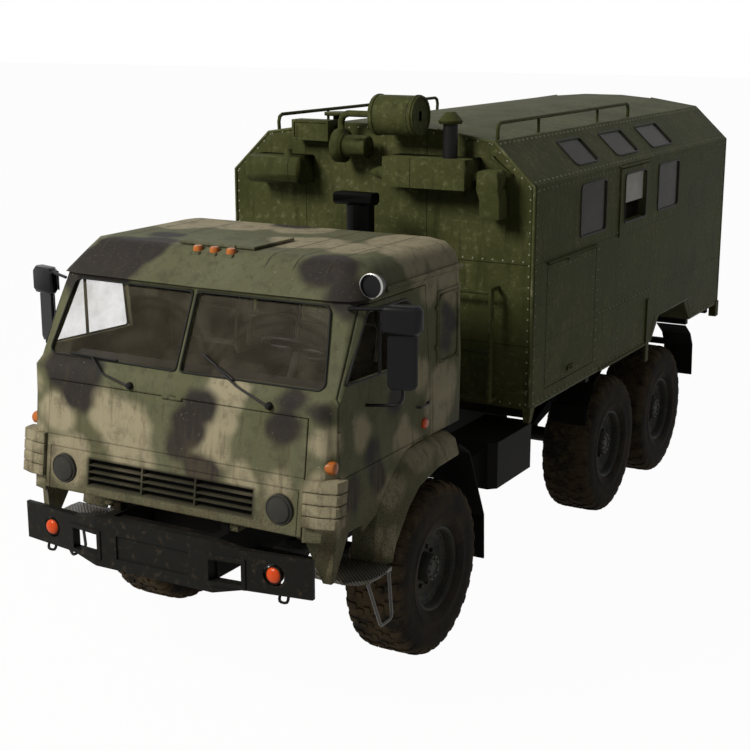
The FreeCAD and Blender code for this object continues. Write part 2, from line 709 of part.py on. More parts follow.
door_points = [(S.door_front_y, S.door_low_z), (S.door_front_y, S.cab_belt_z - 10),
               (S.door_front_y + 25, S.cab_belt_z + 45), (S.door_front_y + 305, S.door_high_z),
               (S.door_rear_y - 84, S.door_high_z), (S.door_rear_y - 6, floor_z + 327),
               (S.door_rear_y, S.door_low_z)]
door_middle = ((S.door_front_y + S.door_rear_y) / 2, S.cab_belt_z + 20)
inner_x = half - WALL
door_edge = grow(door_points, door_middle[0].value, door_middle[1].value)
door_hole = fuse(outline("yz", door_edge, inner_x - 1, half + 10),
                 common(outline("yz", door_edge, half - 245, half + 10),
                        box((half - 245, half + 10), (nose, cab_rear), (S.cab_belt_z, S.screen_top_z))))
window_points = [(S.door_front_y + 75, S.cab_belt_z + 110), (S.door_front_y + 335, S.door_high_z - 38),
                 (S.door_rear_y - 342, S.door_high_z - 45), (S.door_rear_y - 259, S.door_high_z - 100),
                 (S.door_rear_y - 220, S.cab_belt_z + 80)]
screen_hole = outline("xz", [
    (15, S.cab_belt_z + 82), (half - 130, S.cab_belt_z + 82), (half - 102, S.cab_belt_z + 112),
    (half - 172, S.screen_top_z - 55), (half - 205, S.screen_top_z - 28), (15, S.screen_top_z - 28)],
    nose, S.screen_high_y + 220)
rear_window = box((-560, 560), (cab_rear - 200, cab_rear + 10), (S.cab_belt_z + 80, S.cab_belt_z + 440))
hatch_x = (-320, 260)
hatch_y = (S.roof_front_y + 10, S.roof_front_y + 470)
roof_hole = box((-280, 220), (hatch_y[0] + 40, hatch_y[1] - 40), (S.cab_roof_z - 80, S.cab_roof_z + 10))
shell = cut(cab_outer, cab_inner, cab_under, below, nose_cut, lid_room, service_hole, *pair(door_hole),
            *pair(screen_hole), rear_window, roof_hole)

BARREL = 12
ROOM = 15.2


def hinge(axis, at, low, high):
    """Barrels on one axis: two on the fixed side, one between them on the moving side, and their rooms."""
    third = (dim(high) - low) / 3
    fixed = [rod(axis, at, BARREL, low, low + third, 8), rod(axis, at, BARREL, high - third, high, 8)]
    moving = rod(axis, at, BARREL, low + third + 0.4, high - third - 0.4, 8)
    fixed_room = [rod(axis, at, ROOM, low - 2, low + third + 0.2, 8),
                  rod(axis, at, ROOM, high - third - 0.2, high + 2, 8)]
    moving_room = rod(axis, at, ROOM, low + third + 0.2, high - third - 0.2, 8)
    return fixed, moving, fixed_room, moving_room


hinge_z = (floor_z + 160, floor_z + 310)
door_hinge = hinge("z", (half, S.door_front_y), *hinge_z)
right_hinge = hinge("z", (-half, S.door_front_y), *hinge_z)
lid_hinge = hinge("x", (nose_at(S.lid_high_z), S.lid_high_z), -75, 75)
hatch_z = S.cab_roof_z + 6
hatch_hinge = hinge("x", (hatch_y[0], hatch_z + 8), -180, 120)
sill = box((leg_in, leg_out), (S.tilt_y + 34, cab_rear - 30), (floor_z - 100, floor_z))
leg = fuse(box((leg_in, leg_out), (S.tilt_y - 30, S.tilt_y + 90), (S.tilt_z - 30, S.tilt_z + 22)),
           box((leg_in, leg_out), (S.tilt_y + 34, S.tilt_y + 90), (S.tilt_z, floor_z)),
           rod("x", (S.tilt_y, S.tilt_z), 15, rail_in + 30, leg_in))
hatch_rests = [box(x, (hatch_y[0] - 10, hatch_y[0] + 10), (S.cab_roof_z - 20, hatch_z + 8))
               for x in ((-180, -130), (70, 120))]
gutter = box((half - 6, half + 16), (S.screen_high_y + 346, cab_rear - 52), (S.screen_top_z + 10, S.screen_top_z + 26))
quarter_y = (cab_rear - 395, cab_rear - 75)
quarter_z = (S.cab_belt_z - 15, S.cab_belt_z + 480)
gasket = cut(box((half - 1, half + 9), quarter_y, quarter_z),
             box((half - 2, half + 10), (quarter_y[0] + 16, quarter_y[1] - 16), (quarter_z[0] + 16, quarter_z[1] - 16)))
piece("cab_shell", fuse(
    cut(shell, door_hinge[3], right_hinge[3], lid_hinge[3]), *door_hinge[0], *right_hinge[0], *lid_hinge[0],
    *hatch_hinge[0], *hatch_rests, *pair(sill), *pair(leg), *pair(gutter), *pair(gasket)))
pane_band = cut(cab_form((WALL - S.glass_thickness) / 2), cab_form((WALL + S.glass_thickness) / 2))
piece("cab_glass", common(pane_band, fuse(*pair(screen_hole), rear_window)))

# Cab doors: panels cut from the cab's walls, each with a framed window, glass and mirrors

leaf = cut(common(cab_skin, outline("yz", door_points, half - 245, half + 10)),
           outline("yz", window_points, half - 250, half + 15))
left_leaf = fuse(cut(leaf, *door_hinge[2]), door_hinge[1])
piece("left_door", left_leaf)
piece("right_door", mirror(left_leaf))
glass = common(pane_band, outline("yz", window_points, half - 245, half + 10))
piece("left_door_glass", group(glass))
piece("right_door_glass", mirror(glass))

mirror_x = half + 228
mirror_y = nose + 547
top_z = S.screen_top_z
slab = [(-80, -52), (62, 2), (80, 32), (70, 52), (-62, 6), (-84, -28)]
drum = [(-105, -78), (80, -35), (115, 20), (95, 72), (-85, 25), (-122, -28)]


def mirror_head(points, low, high):
    """A rounded mirror shell that faces back and a little inwards, its ends drawn in."""
    small = [(mirror_x + x * 0.8, mirror_y + y * 0.8) for x, y in points]
    full = [(mirror_x + x, mirror_y + y) for x, y in points]
    return loft([(low, small), (low + 28, full), (high - 28, full), (high, small)])


mirror_set = cut(fuse(
    pipe([(half - 70, nose + 410, top_z - 38), (mirror_x, mirror_y, top_z - 30), (mirror_x, mirror_y, top_z - 615),
          (half - 20, nose + 500, top_z - 636)], 11, 55, 6),
    mirror_head(drum, top_z - 185, top_z - 12),
    mirror_head(slab, top_z - 520, top_z - 175)), cab_outer)
piece("left_mirror", mirror_set)
piece("right_mirror", mirror(mirror_set))

# Front lid: a leaning panel with a seam, a framed lower half, grille slots and round lamp holes

lid_panel = on_nose(S.lid_low_z, S.lid_high_z, 0, S.lid_thickness, -S.lid_half, S.lid_half)
seam_z = S.lid_low_z + 348
grooves = [on_nose(seam_z - 3, seam_z + 3, 4, 4, -S.lid_half - 2, S.lid_half + 2),
           on_nose(seam_z - 78, seam_z - 72, 4, 4, -S.lid_half + 28, S.lid_half - 28)]
grooves += pair(on_nose(S.lid_low_z - 2, seam_z - 72, 4, 4, S.lid_half - 34, S.lid_half - 28))
slots = []
for row in range(4):
    low = S.lid_low_z + 65 + row * 43.5
    for edges in ((-630, -212), (-198, 198), (212, 630)):
        slots.append(on_nose(low, low + 34, 20, S.lid_thickness + 20, *edges))
lamp_at = (827, S.lid_low_z + 142)
lamp_room = rod("y", lamp_at, 95.3, nose - 50, nose + 150, 20)
headlamp = fuse(rod("y", lamp_at, 95, nose_at(lamp_at[1]) - 12, nose_at(lamp_at[1]) + 60, 20),
                rod("y", lamp_at, 76, nose_at(lamp_at[1]) - 24, nose_at(lamp_at[1]), 20))
piece("front_lid", fuse(cut(lid_panel, *grooves, *slots, *pair(lamp_room), *lid_hinge[2]), lid_hinge[1]))
piece("headlamps", group(*pair(headlamp)))

# Roof hatch

hatch = fuse(cut(box(hatch_x, hatch_y, (hatch_z, hatch_z + 16)), *hatch_hinge[2]), hatch_hinge[1])
piece("roof_hatch", hatch)

# Wings: flared sheets over the front wheels, tapered legs under the cab's corners, louvred corner panels

STATIONS = (
    # front-to-back and height of the inner edge, the crease and the lip, from the axle and the cab's floor
    ((-800, -640), (-776, -640), (-735, -640)),
    ((-790, -480), (-748, -500), (-690, -530)),
    ((-772, -327), (-708, -360), (-604, -434)),
    ((-636, -180), (-590, -228), (-515, -335)),
    ((-403, -21.5), (-396, -84), (-372, -236)),
    ((-85, -4), (-92, -62), (-100, -180)),
    ((180, -28), (180, -72), (180, -173)),
)
SHEET = 14


def wing_ring(station):
    """The wing's sheet at one station: out over the crease to the lip, and back on its inner side."""
    edge, crease, lip = station
    reach = S.fender_reach
    outside = [(half - 165, edge), (half, edge), (half + reach * 0.72, crease), (half + reach, lip)]
    angle = math.atan2(edge[1] + S.cab_floor_z.value - S.axle_z.value, edge[0])
    inwards = (-SHEET * math.cos(angle), -SHEET * math.sin(angle))
    if station in (STATIONS[0], STATIONS[-1]):
        inwards = (SHEET, 0) if station == STATIONS[0] else (0, -SHEET)
    ring = [(x, front + y + 0.2, floor_z + z - 0.4) for x, (y, z) in outside]
    for index, (x, (y, z)) in reversed(list(enumerate(outside))):
        drawn = x - (10 if index > 1 else 0)
        ring.append((drawn, front + y + inwards[0] + 0.2, floor_z + z + inwards[1] - 0.4))
    return ring


wing = skin([wing_ring(station) for station in STATIONS])
corner_leg = loft([
    (S.cab_skirt_z - 285, [(half - 85, nose + 130), (half - 30, nose + 135), (half - 30, nose + 172),
                           (half - 85, nose + 170)]),
    (S.cab_skirt_z - 0.3, [(half - 150, nose + 40), (half - 5, nose + 150), (half - 5, nose + 300),
                           (half - 150, nose + 300)])])


def corner_wrap(out, z_low, z_high):
    """A slab round the cab's front corner, leaning with the front panel."""
    points = [(S.lid_half + 12, -out), (half - 40, -out + 12), (half + 30 + out, 22), (half + 44 + out, 60),
              (half + 44 + out, 116), (half - 30, 116), (S.lid_half + 12, 60)]
    return loft([(z, [(x, nose_at(z) + y) for x, y in points]) for z in (z_low, z_high)])


panel_low = S.lid_low_z + 72
louvres = [corner_wrap(24, panel_low + low, panel_low + high) for low, high in
           ((0, 62), (72, 132), (142, 202), (212, 276))]
corner = cut(fuse(corner_wrap(12, panel_low + 4, panel_low + 272), *louvres), cab_outer)
piece("cab_wings", group(*pair(wing), *pair(corner), *pair(corner_leg)))

# Cab inside: seats, dashboard with steering column, steering wheel

floor_top = floor_z + WALL
seat_y = cab_rear - 645
seats = []
for x in (half - 595, -80, 565 - half):
    seats.append(fuse(
        box((x - 180, x + 180), (seat_y - 200, seat_y + 200), (floor_top, floor_top + 260)),
        box((x - 240, x + 240), (seat_y - 260, seat_y + 250), (floor_top + 260, floor_top + 390)),
        outline("yz", [(seat_y + 150, floor_top + 390), (seat_y + 250, floor_top + 390),
                       (seat_y + 360, floor_top + 960), (seat_y + 270, floor_top + 960)], x - 230, x + 230)))
piece("cab_seats", group(*seats))
dash_y = S.screen_low_y + 60
dash = outline("yz", [(dash_y, floor_top), (dash_y, floor_z + 480), (dash_y + 240, floor_z + 520),
                      (dash_y + 300, floor_z + 360), (dash_y + 120, floor_z + 240), (dash_y + 60, floor_top)],
               145 - half, half - 145)
wheel_at = Vector((half - 595).value, (nose + 690).value, (floor_z + 640).value)
column_turn = Rotation(Vector(1, 0, 0), -28)
column_foot = wheel_at - column_turn.multVec(Vector(0, 0, 663.5))
column = rod("z", (0, 0), 28, 0, 643)
column.Placement = FreeCAD.Placement(column_foot, column_turn)
for axis in "xyz":
    column.setExpression(f"Placement.Base.{axis}", None)
piece("dashboard", fuse(dash, column))
HOOP_SIDES = 20
hoop = tube([Vector(225 * math.cos(2 * math.pi * side / HOOP_SIDES), 225 * math.sin(2 * math.pi * side / HOOP_SIDES), 0)
             for side in range(HOOP_SIDES)], 16, 6, closed=True)
spokes = [box((-212, 212), (-14, 14), (-10, 6)), box((-14, 14), (-212, 0), (-10, 6)),
          rod("z", (0, 0), 48, -20, 14)]
steering = group(fuse(hoop, *spokes))
steering.Placement = FreeCAD.Placement(wheel_at, column_turn)
piece("steering_wheel", steering)

# Cab lamps: three on the roof's front, one spot lamp over the left pillar, amber side lamps

roof_lamps = [cut(rod("z", (x, S.roof_front_y - 50), 28, S.cab_roof_z - 75, S.cab_roof_z + 10, 8), cab_outer)
              for x in (-130, -3, 124)]
side_lamp_z = S.lid_low_z + 418
side_lamps = pair(cut(rod("x", (nose_at(side_lamp_z) + 62, side_lamp_z), 40, half - 60, half + 12, 12), cab_outer))
spot_at = (half + 22, top_z + 88)
spot = rod("y", spot_at, 72, nose + 525, nose + 640, 16)
spot_stem = rod("z", (half - 14, nose + 590), 14, top_z - 4, top_z + 60, 8)
piece("cab_lamps", group(*roof_lamps, *side_lamps, cut(fuse(spot, spot_stem), cab_outer)))

# Steps under the cab's front corners, each with a foot loop below

step_z = (S.rail_low - 35, S.rail_low - 10)
step_plate = outline("xy", [
    (half - 245, front - 1120), (half - 25, front - 1130), (half + 55, front - 1100), (half + 100, front - 1030),
    (half + 115, front - 850), (half + 110, front - 770), (half - 245, front - 770)], *step_z)
step_arm = box((S.frame_half, half - 225), (front - 1080, front - 1000), (S.rail_low - 40, S.rail_low + 50))
loop_x = half + 93
foot_loop = pipe([(loop_x, front - 1044, step_z[0] + 5), (loop_x, front - 880, step_z[0] - 335),
                  (loop_x, front - 740, step_z[0] - 330), (loop_x, front - 782, step_z[0] + 5)], 11, 30, 6)
piece("front_steps", group(*pair(fuse(step_plate, step_arm, foot_loop))))

# Mudguards behind the front wheels, ahead of the middle wheels and behind the rear wheels


def strip(points, low, high):
    """A bent sheet 10 mm thick, drawn from the side."""
    shifted = [(u + 7, v + 10) for u, v in points]
    return outline("yz", points + shifted[::-1], low, high)


arm_x = half - 285
van_half = S.van_half
low_z = S.rail_low
mid = S.axle_mid_y
last = S.axle_rear_y
guards = [
    (strip([(front + 262, low_z + 495), (front + 425, low_z + 395), (front + 676, low_z - 134),
            (front + 690, low_z - 460)], arm_x, half + 55),
     box((S.frame_half, arm_x + 40), (front + 505, front + 600), (low_z + 180, low_z + 240))),
    (strip([(mid - 690, low_z + 30), (mid - 650, low_z + 180), (mid - 520, low_z + 350),
            (mid - 360, low_z + 425)], arm_x, van_half - 100),
     box((S.frame_half, arm_x + 40), (mid - 650, mid - 575), (low_z + 190, low_z + 240))),
    (strip([(last + 420, low_z + 420), (last + 590, low_z + 310), (last + 672, low_z + 185),
            (last + 690, low_z - 110)], van_half - 340, van_half - 55),
     box((S.frame_half, van_half - 300), (last + 600, last + 672), (low_z + 185, low_z + 235))),
]
piece("mudguards", group(*[half_guard for sheet_part, arm in guards for half_guard in pair(fuse(sheet_part, arm))]))

# Side equipment on the frame: battery box on the left, fuel tank on the right

van_front = S.van_front_y
battery = fuse(
    outline("xy", [(720, van_front - 270), (1075, van_front - 270), (1130, van_front - 215),
                   (1130, van_front + 385), (1075, van_front + 440), (720, van_front + 440)],
            low_z - 50, low_z + 300),
    box((S.frame_half, 720), (van_front - 170, van_front - 90), (low_z + 20, low_z + 100)),
    box((S.frame_half, 720), (van_front + 250, van_front + 330), (low_z + 20, low_z + 100)))
tank = fuse(rod("y", (-850, low_z + 80), 270, van_front - 250, van_front + 650, 24),
            box((-720, -S.frame_half), (van_front - 170, van_front - 90), (low_z + 20, low_z + 100)),
            box((-720, -S.frame_half), (van_front + 450, van_front + 530), (low_z + 20, low_z + 100)))
piece("side_tanks", group(battery, tank))

# Air intake stack behind the cab, with a flat mouth across its top

stack_y = cab_rear + 385
mouth_z = S.cab_roof_z + 195
stack = rod("z", (125, stack_y), 100, S.rail_high + 90, mouth_z - 86)
mouth = outline("yz", [(stack_y - 42, mouth_z - 86), (stack_y + 42, mouth_z - 86), (stack_y + 68, mouth_z - 66),
                       (stack_y + 68, mouth_z - 14), (stack_y + 50, mouth_z), (stack_y - 50, mouth_z),
                       (stack_y - 68, mouth_z - 14), (stack_y - 68, mouth_z - 66)], -62, 242)
stack_foot = box((25, 225), (stack_y - 50, stack_y + 50), (S.rail_high, S.rail_high + 92))
stack_arm = box((125, S.frame_half), (stack_y - 30, stack_y + 30), (S.rail_high, S.rail_high + 60))
piece("air_intake", fuse(stack, mouth, stack_arm, stack_foot))

# Van body: a hollow box with sloping upper sides and a domed roof, wheel arches, windows, door and hatch


def van_outline(inset, floor, low, high):
    side = S.van_half - inset
    top = S.van_roof_half - inset * 0.5
    edge = S.van_roof_z - inset
    left = [(side, floor), (side, S.van_shoulder_z), (top, edge), (top * 0.6, edge + S.crown_rise * 0.66),
            (top * 0.2, edge + S.crown_rise)]
    return outline("xz", left + [(-x, z) for x, z in reversed(left)], low, high)


def arch_block(extra):
    """The space over the rear wheels on the left, grown by a wall."""
    slope = S.arch_height
    low = S.van_floor_z - 10
    return outline("yz", [
        (S.arch_front_y - extra, low), (S.arch_front_y + slope - extra, S.arch_z + extra),
        (S.arch_rear_y - slope + extra, S.arch_z + extra), (S.arch_rear_y + extra, low)],
        S.van_half - S.arch_depth - extra, S.van_half + 10)


van_rear = S.van_rear_y
van_floor = S.van_floor_z
bevel = S.edge_bevel
plan = [(van_half - bevel, van_front), (van_half, van_front + bevel), (van_half, van_rear - bevel),
        (van_half - bevel, van_rear)]
van_block = common(van_outline(0, van_floor, van_front, van_rear),
                   outline("xy", plan + [(-x, y) for x, y in reversed(plan)], van_floor - 5,
                           S.van_roof_z + S.crown_rise + 5))
van_room = cut(van_outline(S.van_wall, van_floor + S.van_floor_thickness, van_front + S.van_wall,
                           van_rear - S.van_wall), *pair(arch_block(S.van_wall)))
window_z = (S.van_shoulder_z - 470, S.van_shoulder_z - 90)
side_windows = [box((-van_half - 20, van_half + 20), (van_front + low, van_front + high), window_z)
                for low, high in ((880, 1400), (1810, 2300), (2665, 3195))]
slope_windows = [box((1040, 1210), (van_front + low, van_front + high), (S.van_shoulder_z - 100, S.van_roof_z))
                 for low, high in ((940, 1390), (1810, 2300), (2660, 3190))]
door_opening = box((-S.van_door_half - gap, S.van_door_half + gap), (van_rear - 200, van_rear + 10),
                   (S.van_door_low_z - gap, S.van_door_high_z + gap))
hatch_opening = box((van_half - 200, van_half + 20), (S.hatch_front_y - gap, S.hatch_rear_y + gap),
                    (S.hatch_low_z - gap, S.hatch_high_z + gap))
van_hinge = hinge("z", (-S.van_door_half, van_rear), van_floor + 690, van_floor + 890)
side_hinge = hinge("y", (van_half, S.hatch_high_z), S.hatch_front_y + 380, S.hatch_rear_y - 380)
window_frame = box((van_half - 5, van_half + 12), (van_front + 1710, van_front + 2350),
                   (S.van_shoulder_z - 585, S.van_shoulder_z - 35))
trims = [
    box((van_half - 5, van_half + 22), (S.hatch_front_y - 20, S.hatch_rear_y + 20),
        (S.hatch_high_z + 14, S.hatch_high_z + 26)),
    box((van_half - 5, van_half + 22), (van_front + 1685, van_front + 2498),
        (S.van_shoulder_z - 24, S.van_shoulder_z - 12)),
    box((van_half - 5, van_half + 14), (S.arch_front_y - 160, S.arch_front_y - 85), (van_floor - 150, van_floor + 405)),
    box((van_half - 5, van_half + 12), (van_front + 1370, S.arch_front_y - 160), (van_floor, van_floor + 22)),
    box((van_half - 60, van_half + 10), (van_rear - 70, van_rear + 20), (van_floor - 120, van_floor + 30)),
    loft([(van_floor - 100, [(van_half - 52, van_front + 2), (van_half - 8, van_front + 2),
                             (van_half - 8, van_front + 52), (van_half - 52, van_front + 52)]),
          (van_floor + 20, [(van_half - 58, van_front - 8), (van_half + 8, van_front - 8),
                            (van_half + 8, van_front + 78), (van_half - 58, van_front + 78)])]),
]
van_body = cut(fuse(van_block, *pair(window_frame)), van_room, *pair(arch_block(0)), *side_windows,
               *[part for window in slope_windows for part in pair(window)],
               door_opening, hatch_opening, van_hinge[3], side_hinge[3])
piece("van_shell", fuse(van_body, trims[0], *[part for trim in trims[1:] for part in pair(trim)],
                        *van_hinge[0], *side_hinge[0]))

rail_z = S.van_roof_z + 120
rail_x = S.van_roof_half - 30
rail_foot = S.van_roof_z + 7.3
rail_bar = pipe([(rail_x, van_front + 110, rail_foot), (rail_x, van_front + 100, rail_z),
                 (rail_x, van_front + 2800, rail_z), (rail_x, van_front + 2790, rail_foot)], 14, 50)
rail_posts = [rod("z", (rail_x, van_front + y), 12, rail_foot, rail_z - 10, 8) for y in (840, 2060)]
piece("van_rails", group(*pair(fuse(rail_bar, *rail_posts))))

pane = S.van_wall / 2
thin = S.glass_thickness / 2
lengthwise = (van_front - 70, van_rear + 290)
side_band = box((van_half - pane - thin, van_half - pane + thin), lengthwise, (window_z[0] - 70, window_z[1] + 50))
slope_band = cut(van_outline(pane - thin, S.van_shoulder_z - 140, *lengthwise),
                 van_outline(pane + thin, S.van_shoulder_z - 150, *lengthwise))
panes = [common(side_band, window) for window in side_windows]
panes += [common(slope_band, window) for window in slope_windows]
piece("van_windows", group(*[part for glazing in panes for part in pair(glazing)]))

van_door = fuse(cut(box((-S.van_door_half, S.van_door_half), (van_rear - S.van_wall, van_rear),
                        (S.van_door_low_z, S.van_door_high_z)), *van_hinge[2]), van_hinge[1])
piece("van_door", van_door)
hatch_leaf = fuse(cut(box((van_half - S.van_wall, van_half), (S.hatch_front_y, S.hatch_rear_y),
                          (S.hatch_low_z, S.hatch_high_z)), *side_hinge[2]), side_hinge[1])
piece("side_hatch", hatch_leaf)

# Equipment on the van's front wall: a tank, a vent box, a blower with its drum, a heater and its hood

shoulder = S.van_shoulder_z
wall_at = van_front + 4


def on_wall(points, low, high):
    """A block against the front wall whose side view is given from the wall and the shoulder."""
    return outline("yz", [(van_front + y, shoulder + z) for y, z in points], low, high)


water_tank = on_wall([(4, -70), (-190, -70), (-245, -45), (-260, 5), (-260, 85), (-240, 125), (-190, 138),
                      (4, 138)], -1000, -550)
filler = rod("z", (-685, van_front - 150), 30, shoulder + 130, shoulder + 186, 10)
vent = cut(box((-662, -343), (van_front - 130, wall_at), (shoulder + 255, shoulder + 407)),
           box((-642, -363), (van_front - 140, van_front - 122), (shoulder + 275, shoulder + 387)))
blower_at = (van_front - 150, shoulder + 232)
blower = [rod("x", blower_at, 124, -250, -182, 16), rod("x", blower_at, 82, -182, 12, 16),
          box((-240, -150), (van_front - 150, wall_at), (shoulder + 180, shoulder + 280))]
drum_at = (van_front - 190, shoulder + 471)
drum_parts = [rod("x", drum_at, 143, 108, 470, 20), rod("x", drum_at, 149, 122, 140, 20),
              rod("x", drum_at, 149, 436, 454, 20),
              box((180, 400), (van_front - 190, van_front + 40), (shoulder + 335, shoulder + 420))]
drum_end = [rod("x", drum_at, 128, 462, 480, 20), box((460, 480), (drum_at[0] - 20, drum_at[0] + 20),
                                                      (drum_at[1] - 34, drum_at[1] + 34))]
blower_pipe = pipe([(-216, van_front - 150, shoulder + 330), (-216, van_front - 150, shoulder + 468),
                    (115, van_front - 160, shoulder + 468)], 25, 60)
heater = box((195, 855), (van_front - 270, wall_at), (shoulder - 32, shoulder + 182))
heater_feet = [on_wall([(4, -110), (4, -30), (-200, -30)], x, x + 30) for x in (330, 700)]
nozzle = turned_form("x", (van_front - 170, shoulder + 55), [(14, 50), (46, 118), (46, 200)], 12)
chimney_at = (682, van_front - 150)
chimney = [rod("z", chimney_at, 49, shoulder + 175, shoulder + 430),
           turned_form("z", chimney_at, [(80, shoulder + 424), (89, shoulder + 446), (34, shoulder + 506)], 16)]
hood = outline("xz", [(van_half - 365, shoulder - 20), (van_half - 358, shoulder + 100), (van_half - 340, shoulder + 110),
                      (van_half - 215, shoulder + 112), (van_half - 195, shoulder + 92), (van_half - 200, shoulder - 20),
                      (van_half - 184, shoulder - 100), (van_half - 184, shoulder - 226),
                      (van_half - 338, shoulder - 226), (van_half - 338, shoulder - 100)],
               van_front - 205, van_front - 70)
hood_pipe = rod("x", (van_front - 140, shoulder + 62), 36, 850, van_half - 355, 10)
roof_vent = [rod("z", (-390, van_front + 110), 45, S.van_roof_z + 60, S.van_roof_z + 132),
             rod("z", (-390, van_front + 110), 112, S.van_roof_z + 132, S.van_roof_z + 156, 16)]
slope_bar = pipe([(van_half - 325, wall_at, shoulder + 192), (van_half - 325, van_front - 40, shoulder + 192),
                  (van_half - 178, van_front - 40, shoulder + 74), (van_half - 178, wall_at, shoulder + 74)], 9, 18, 6)
rung_y = van_front - 120
ladder_low = van_floor + 50
ladder_high = van_floor + 900
ladder = fuse(
    *[box((x, x + 22), (rung_y - 26, rung_y + 26), (ladder_low, ladder_high)) for x in (560, 998)],
    *[box((x, x + 22), (rung_y - 26, wall_at), (z, z + 26)) for x in (560, 998)
      for z in (ladder_low, ladder_high - 26)],
    *[rod("x", (rung_y, z), 13, 570, 1010, 8) for z in (van_floor + 75, van_floor + 420, van_floor + 862)])
grab = pipe([(1062, wall_at, van_floor + 132), (1062, van_front - 75, van_floor + 132),
             (1258, van_front - 75, van_floor + 148), (1258, wall_at, van_floor + 148)], 10, 26, 6)
wall_set = cut(fuse(heater, *heater_feet, nozzle, *chimney, hood, hood_pipe), van_block)
blower_set = cut(fuse(*blower, *drum_parts, blower_pipe), *drum_end, van_block)
left_set = cut(fuse(water_tank, filler), van_block)
others = [cut(thing, van_block) for thing in (vent, fuse(*roof_vent), slope_bar, ladder, grab)]
piece("van_equipment", group(wall_set, blower_set, left_set, *others))

# Tail lamps on the last van bearer

tail = box((700, 900), (S.frame_rear_y - 4.7, S.frame_rear_y + 52), (bearer_low - 90, bearer_low + 42))
piece("tail_lamps", group(*pair(tail)))

# Checks and export

doc.recompute()
broken = [thing.Name for thing in doc.Objects if "Invalid" in thing.State or "Error" in thing.State]
if broken:
    raise RuntimeError(f"not made: {broken}")
for thing in pieces:
    if thing.Shape.isNull() or not thing.Shape.isValid():
        raise RuntimeError(f"bad shape: {thing.Label}")
for thing in pieces:
    thing.Shape.exportStep(f"parts/{thing.Label}.step")
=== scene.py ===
import math

import bmesh
import bpy
from mathutils import Matrix, Vector


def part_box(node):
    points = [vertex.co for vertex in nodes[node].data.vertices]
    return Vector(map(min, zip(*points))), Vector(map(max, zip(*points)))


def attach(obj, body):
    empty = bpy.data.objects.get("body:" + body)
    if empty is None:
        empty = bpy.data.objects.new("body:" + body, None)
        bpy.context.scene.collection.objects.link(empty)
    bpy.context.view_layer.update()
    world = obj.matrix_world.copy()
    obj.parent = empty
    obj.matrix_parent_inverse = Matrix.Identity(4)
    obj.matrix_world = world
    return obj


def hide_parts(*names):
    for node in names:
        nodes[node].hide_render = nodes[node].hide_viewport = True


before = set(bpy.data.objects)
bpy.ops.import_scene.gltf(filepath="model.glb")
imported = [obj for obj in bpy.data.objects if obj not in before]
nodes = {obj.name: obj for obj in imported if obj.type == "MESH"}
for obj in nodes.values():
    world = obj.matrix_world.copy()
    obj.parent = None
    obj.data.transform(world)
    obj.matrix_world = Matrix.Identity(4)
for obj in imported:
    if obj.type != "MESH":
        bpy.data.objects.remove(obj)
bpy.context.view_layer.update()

scene = bpy.context.scene

# The truck stands on a plain pale studio floor. One large soft lamp lights its front from high up on its
# right, and a pale sky fills the shade. The camera looks down on its front left corner, as in the photograph.

CAMERA_AT = (5.325, -10.361, 4.214)
CAMERA_TURN = (76.033, 0, 29.522)
LENS = 69.67
VIEW_REACH = 200
KEY_AT = (-5.5, -13.0, 11.0)
KEY_TARGET = (0, -1, 1.5)
KEY_SIZE = 5.0
KEY_POWER = 2350
KEY_COLOUR = (1.0, 0.965, 0.9)
SKY_STRENGTH = 0.15
WHITE = (1, 1, 1, 1)
FLOOR_HALF = 90
FLOOR_WHITE = 0.97


def linear(colour):
    """The linear colour of an sRGB hex value."""
    parts = [int(colour[i:i + 2], 16) / 255 for i in (0, 2, 4)]
    return [c / 12.92 if c <= 0.04045 else ((c + 0.055) / 1.055) ** 2.4 for c in parts] + [1]


def add(tree, kind, inputs=None, **settings):
    """Adds a node with its settings, and fills its inputs with values or with links from sockets or nodes."""
    node = tree.nodes.new(kind)
    for name, value in settings.items():
        setattr(node, name, value)
    for key, value in (inputs or {}).items():
        if isinstance(value, bpy.types.Node):
            value = value.outputs[0]
        if isinstance(value, bpy.types.NodeSocket):
            tree.links.new(value, node.inputs[key])
        else:
            node.inputs[key].default_value = value
    return node


def material(name):
    """A new material with its tree, its shader and the coordinates on the truck in metres."""
    made = bpy.data.materials.new(name)
    made.use_nodes = True
    tree = made.node_tree
    return made, tree, tree.nodes["Principled BSDF"], add(tree, "ShaderNodeTexCoord").outputs["Object"]


def in_view(tree):
    """1 for what the camera sees, also through glass and in gloss, and 0 for what only lights the truck."""
    rays = add(tree, "ShaderNodeLightPath").outputs
    seen = rays["Is Camera Ray"]
    for ray in ("Is Transmission Ray", "Is Glossy Ray"):
        seen = add(tree, "ShaderNodeMath", {0: seen, 1: rays[ray]}, operation="MAXIMUM").outputs[0]
    return seen


camera = bpy.data.objects.new("camera", bpy.data.cameras.new("camera"))
camera.data.lens = LENS
camera.data.clip_end = VIEW_REACH
camera.location = CAMERA_AT
camera.rotation_euler = [math.radians(turn) for turn in CAMERA_TURN]
scene.collection.objects.link(camera)
scene.camera = camera

key = bpy.data.objects.new("key_lamp", bpy.data.lights.new("key_lamp", "AREA"))
key.data.size = KEY_SIZE
key.data.energy = KEY_POWER
key.data.color = KEY_COLOUR
key.location = KEY_AT
key.rotation_euler = (Vector(KEY_TARGET) - Vector(KEY_AT)).to_track_quat("-Z", "Y").to_euler()
scene.collection.objects.link(key)

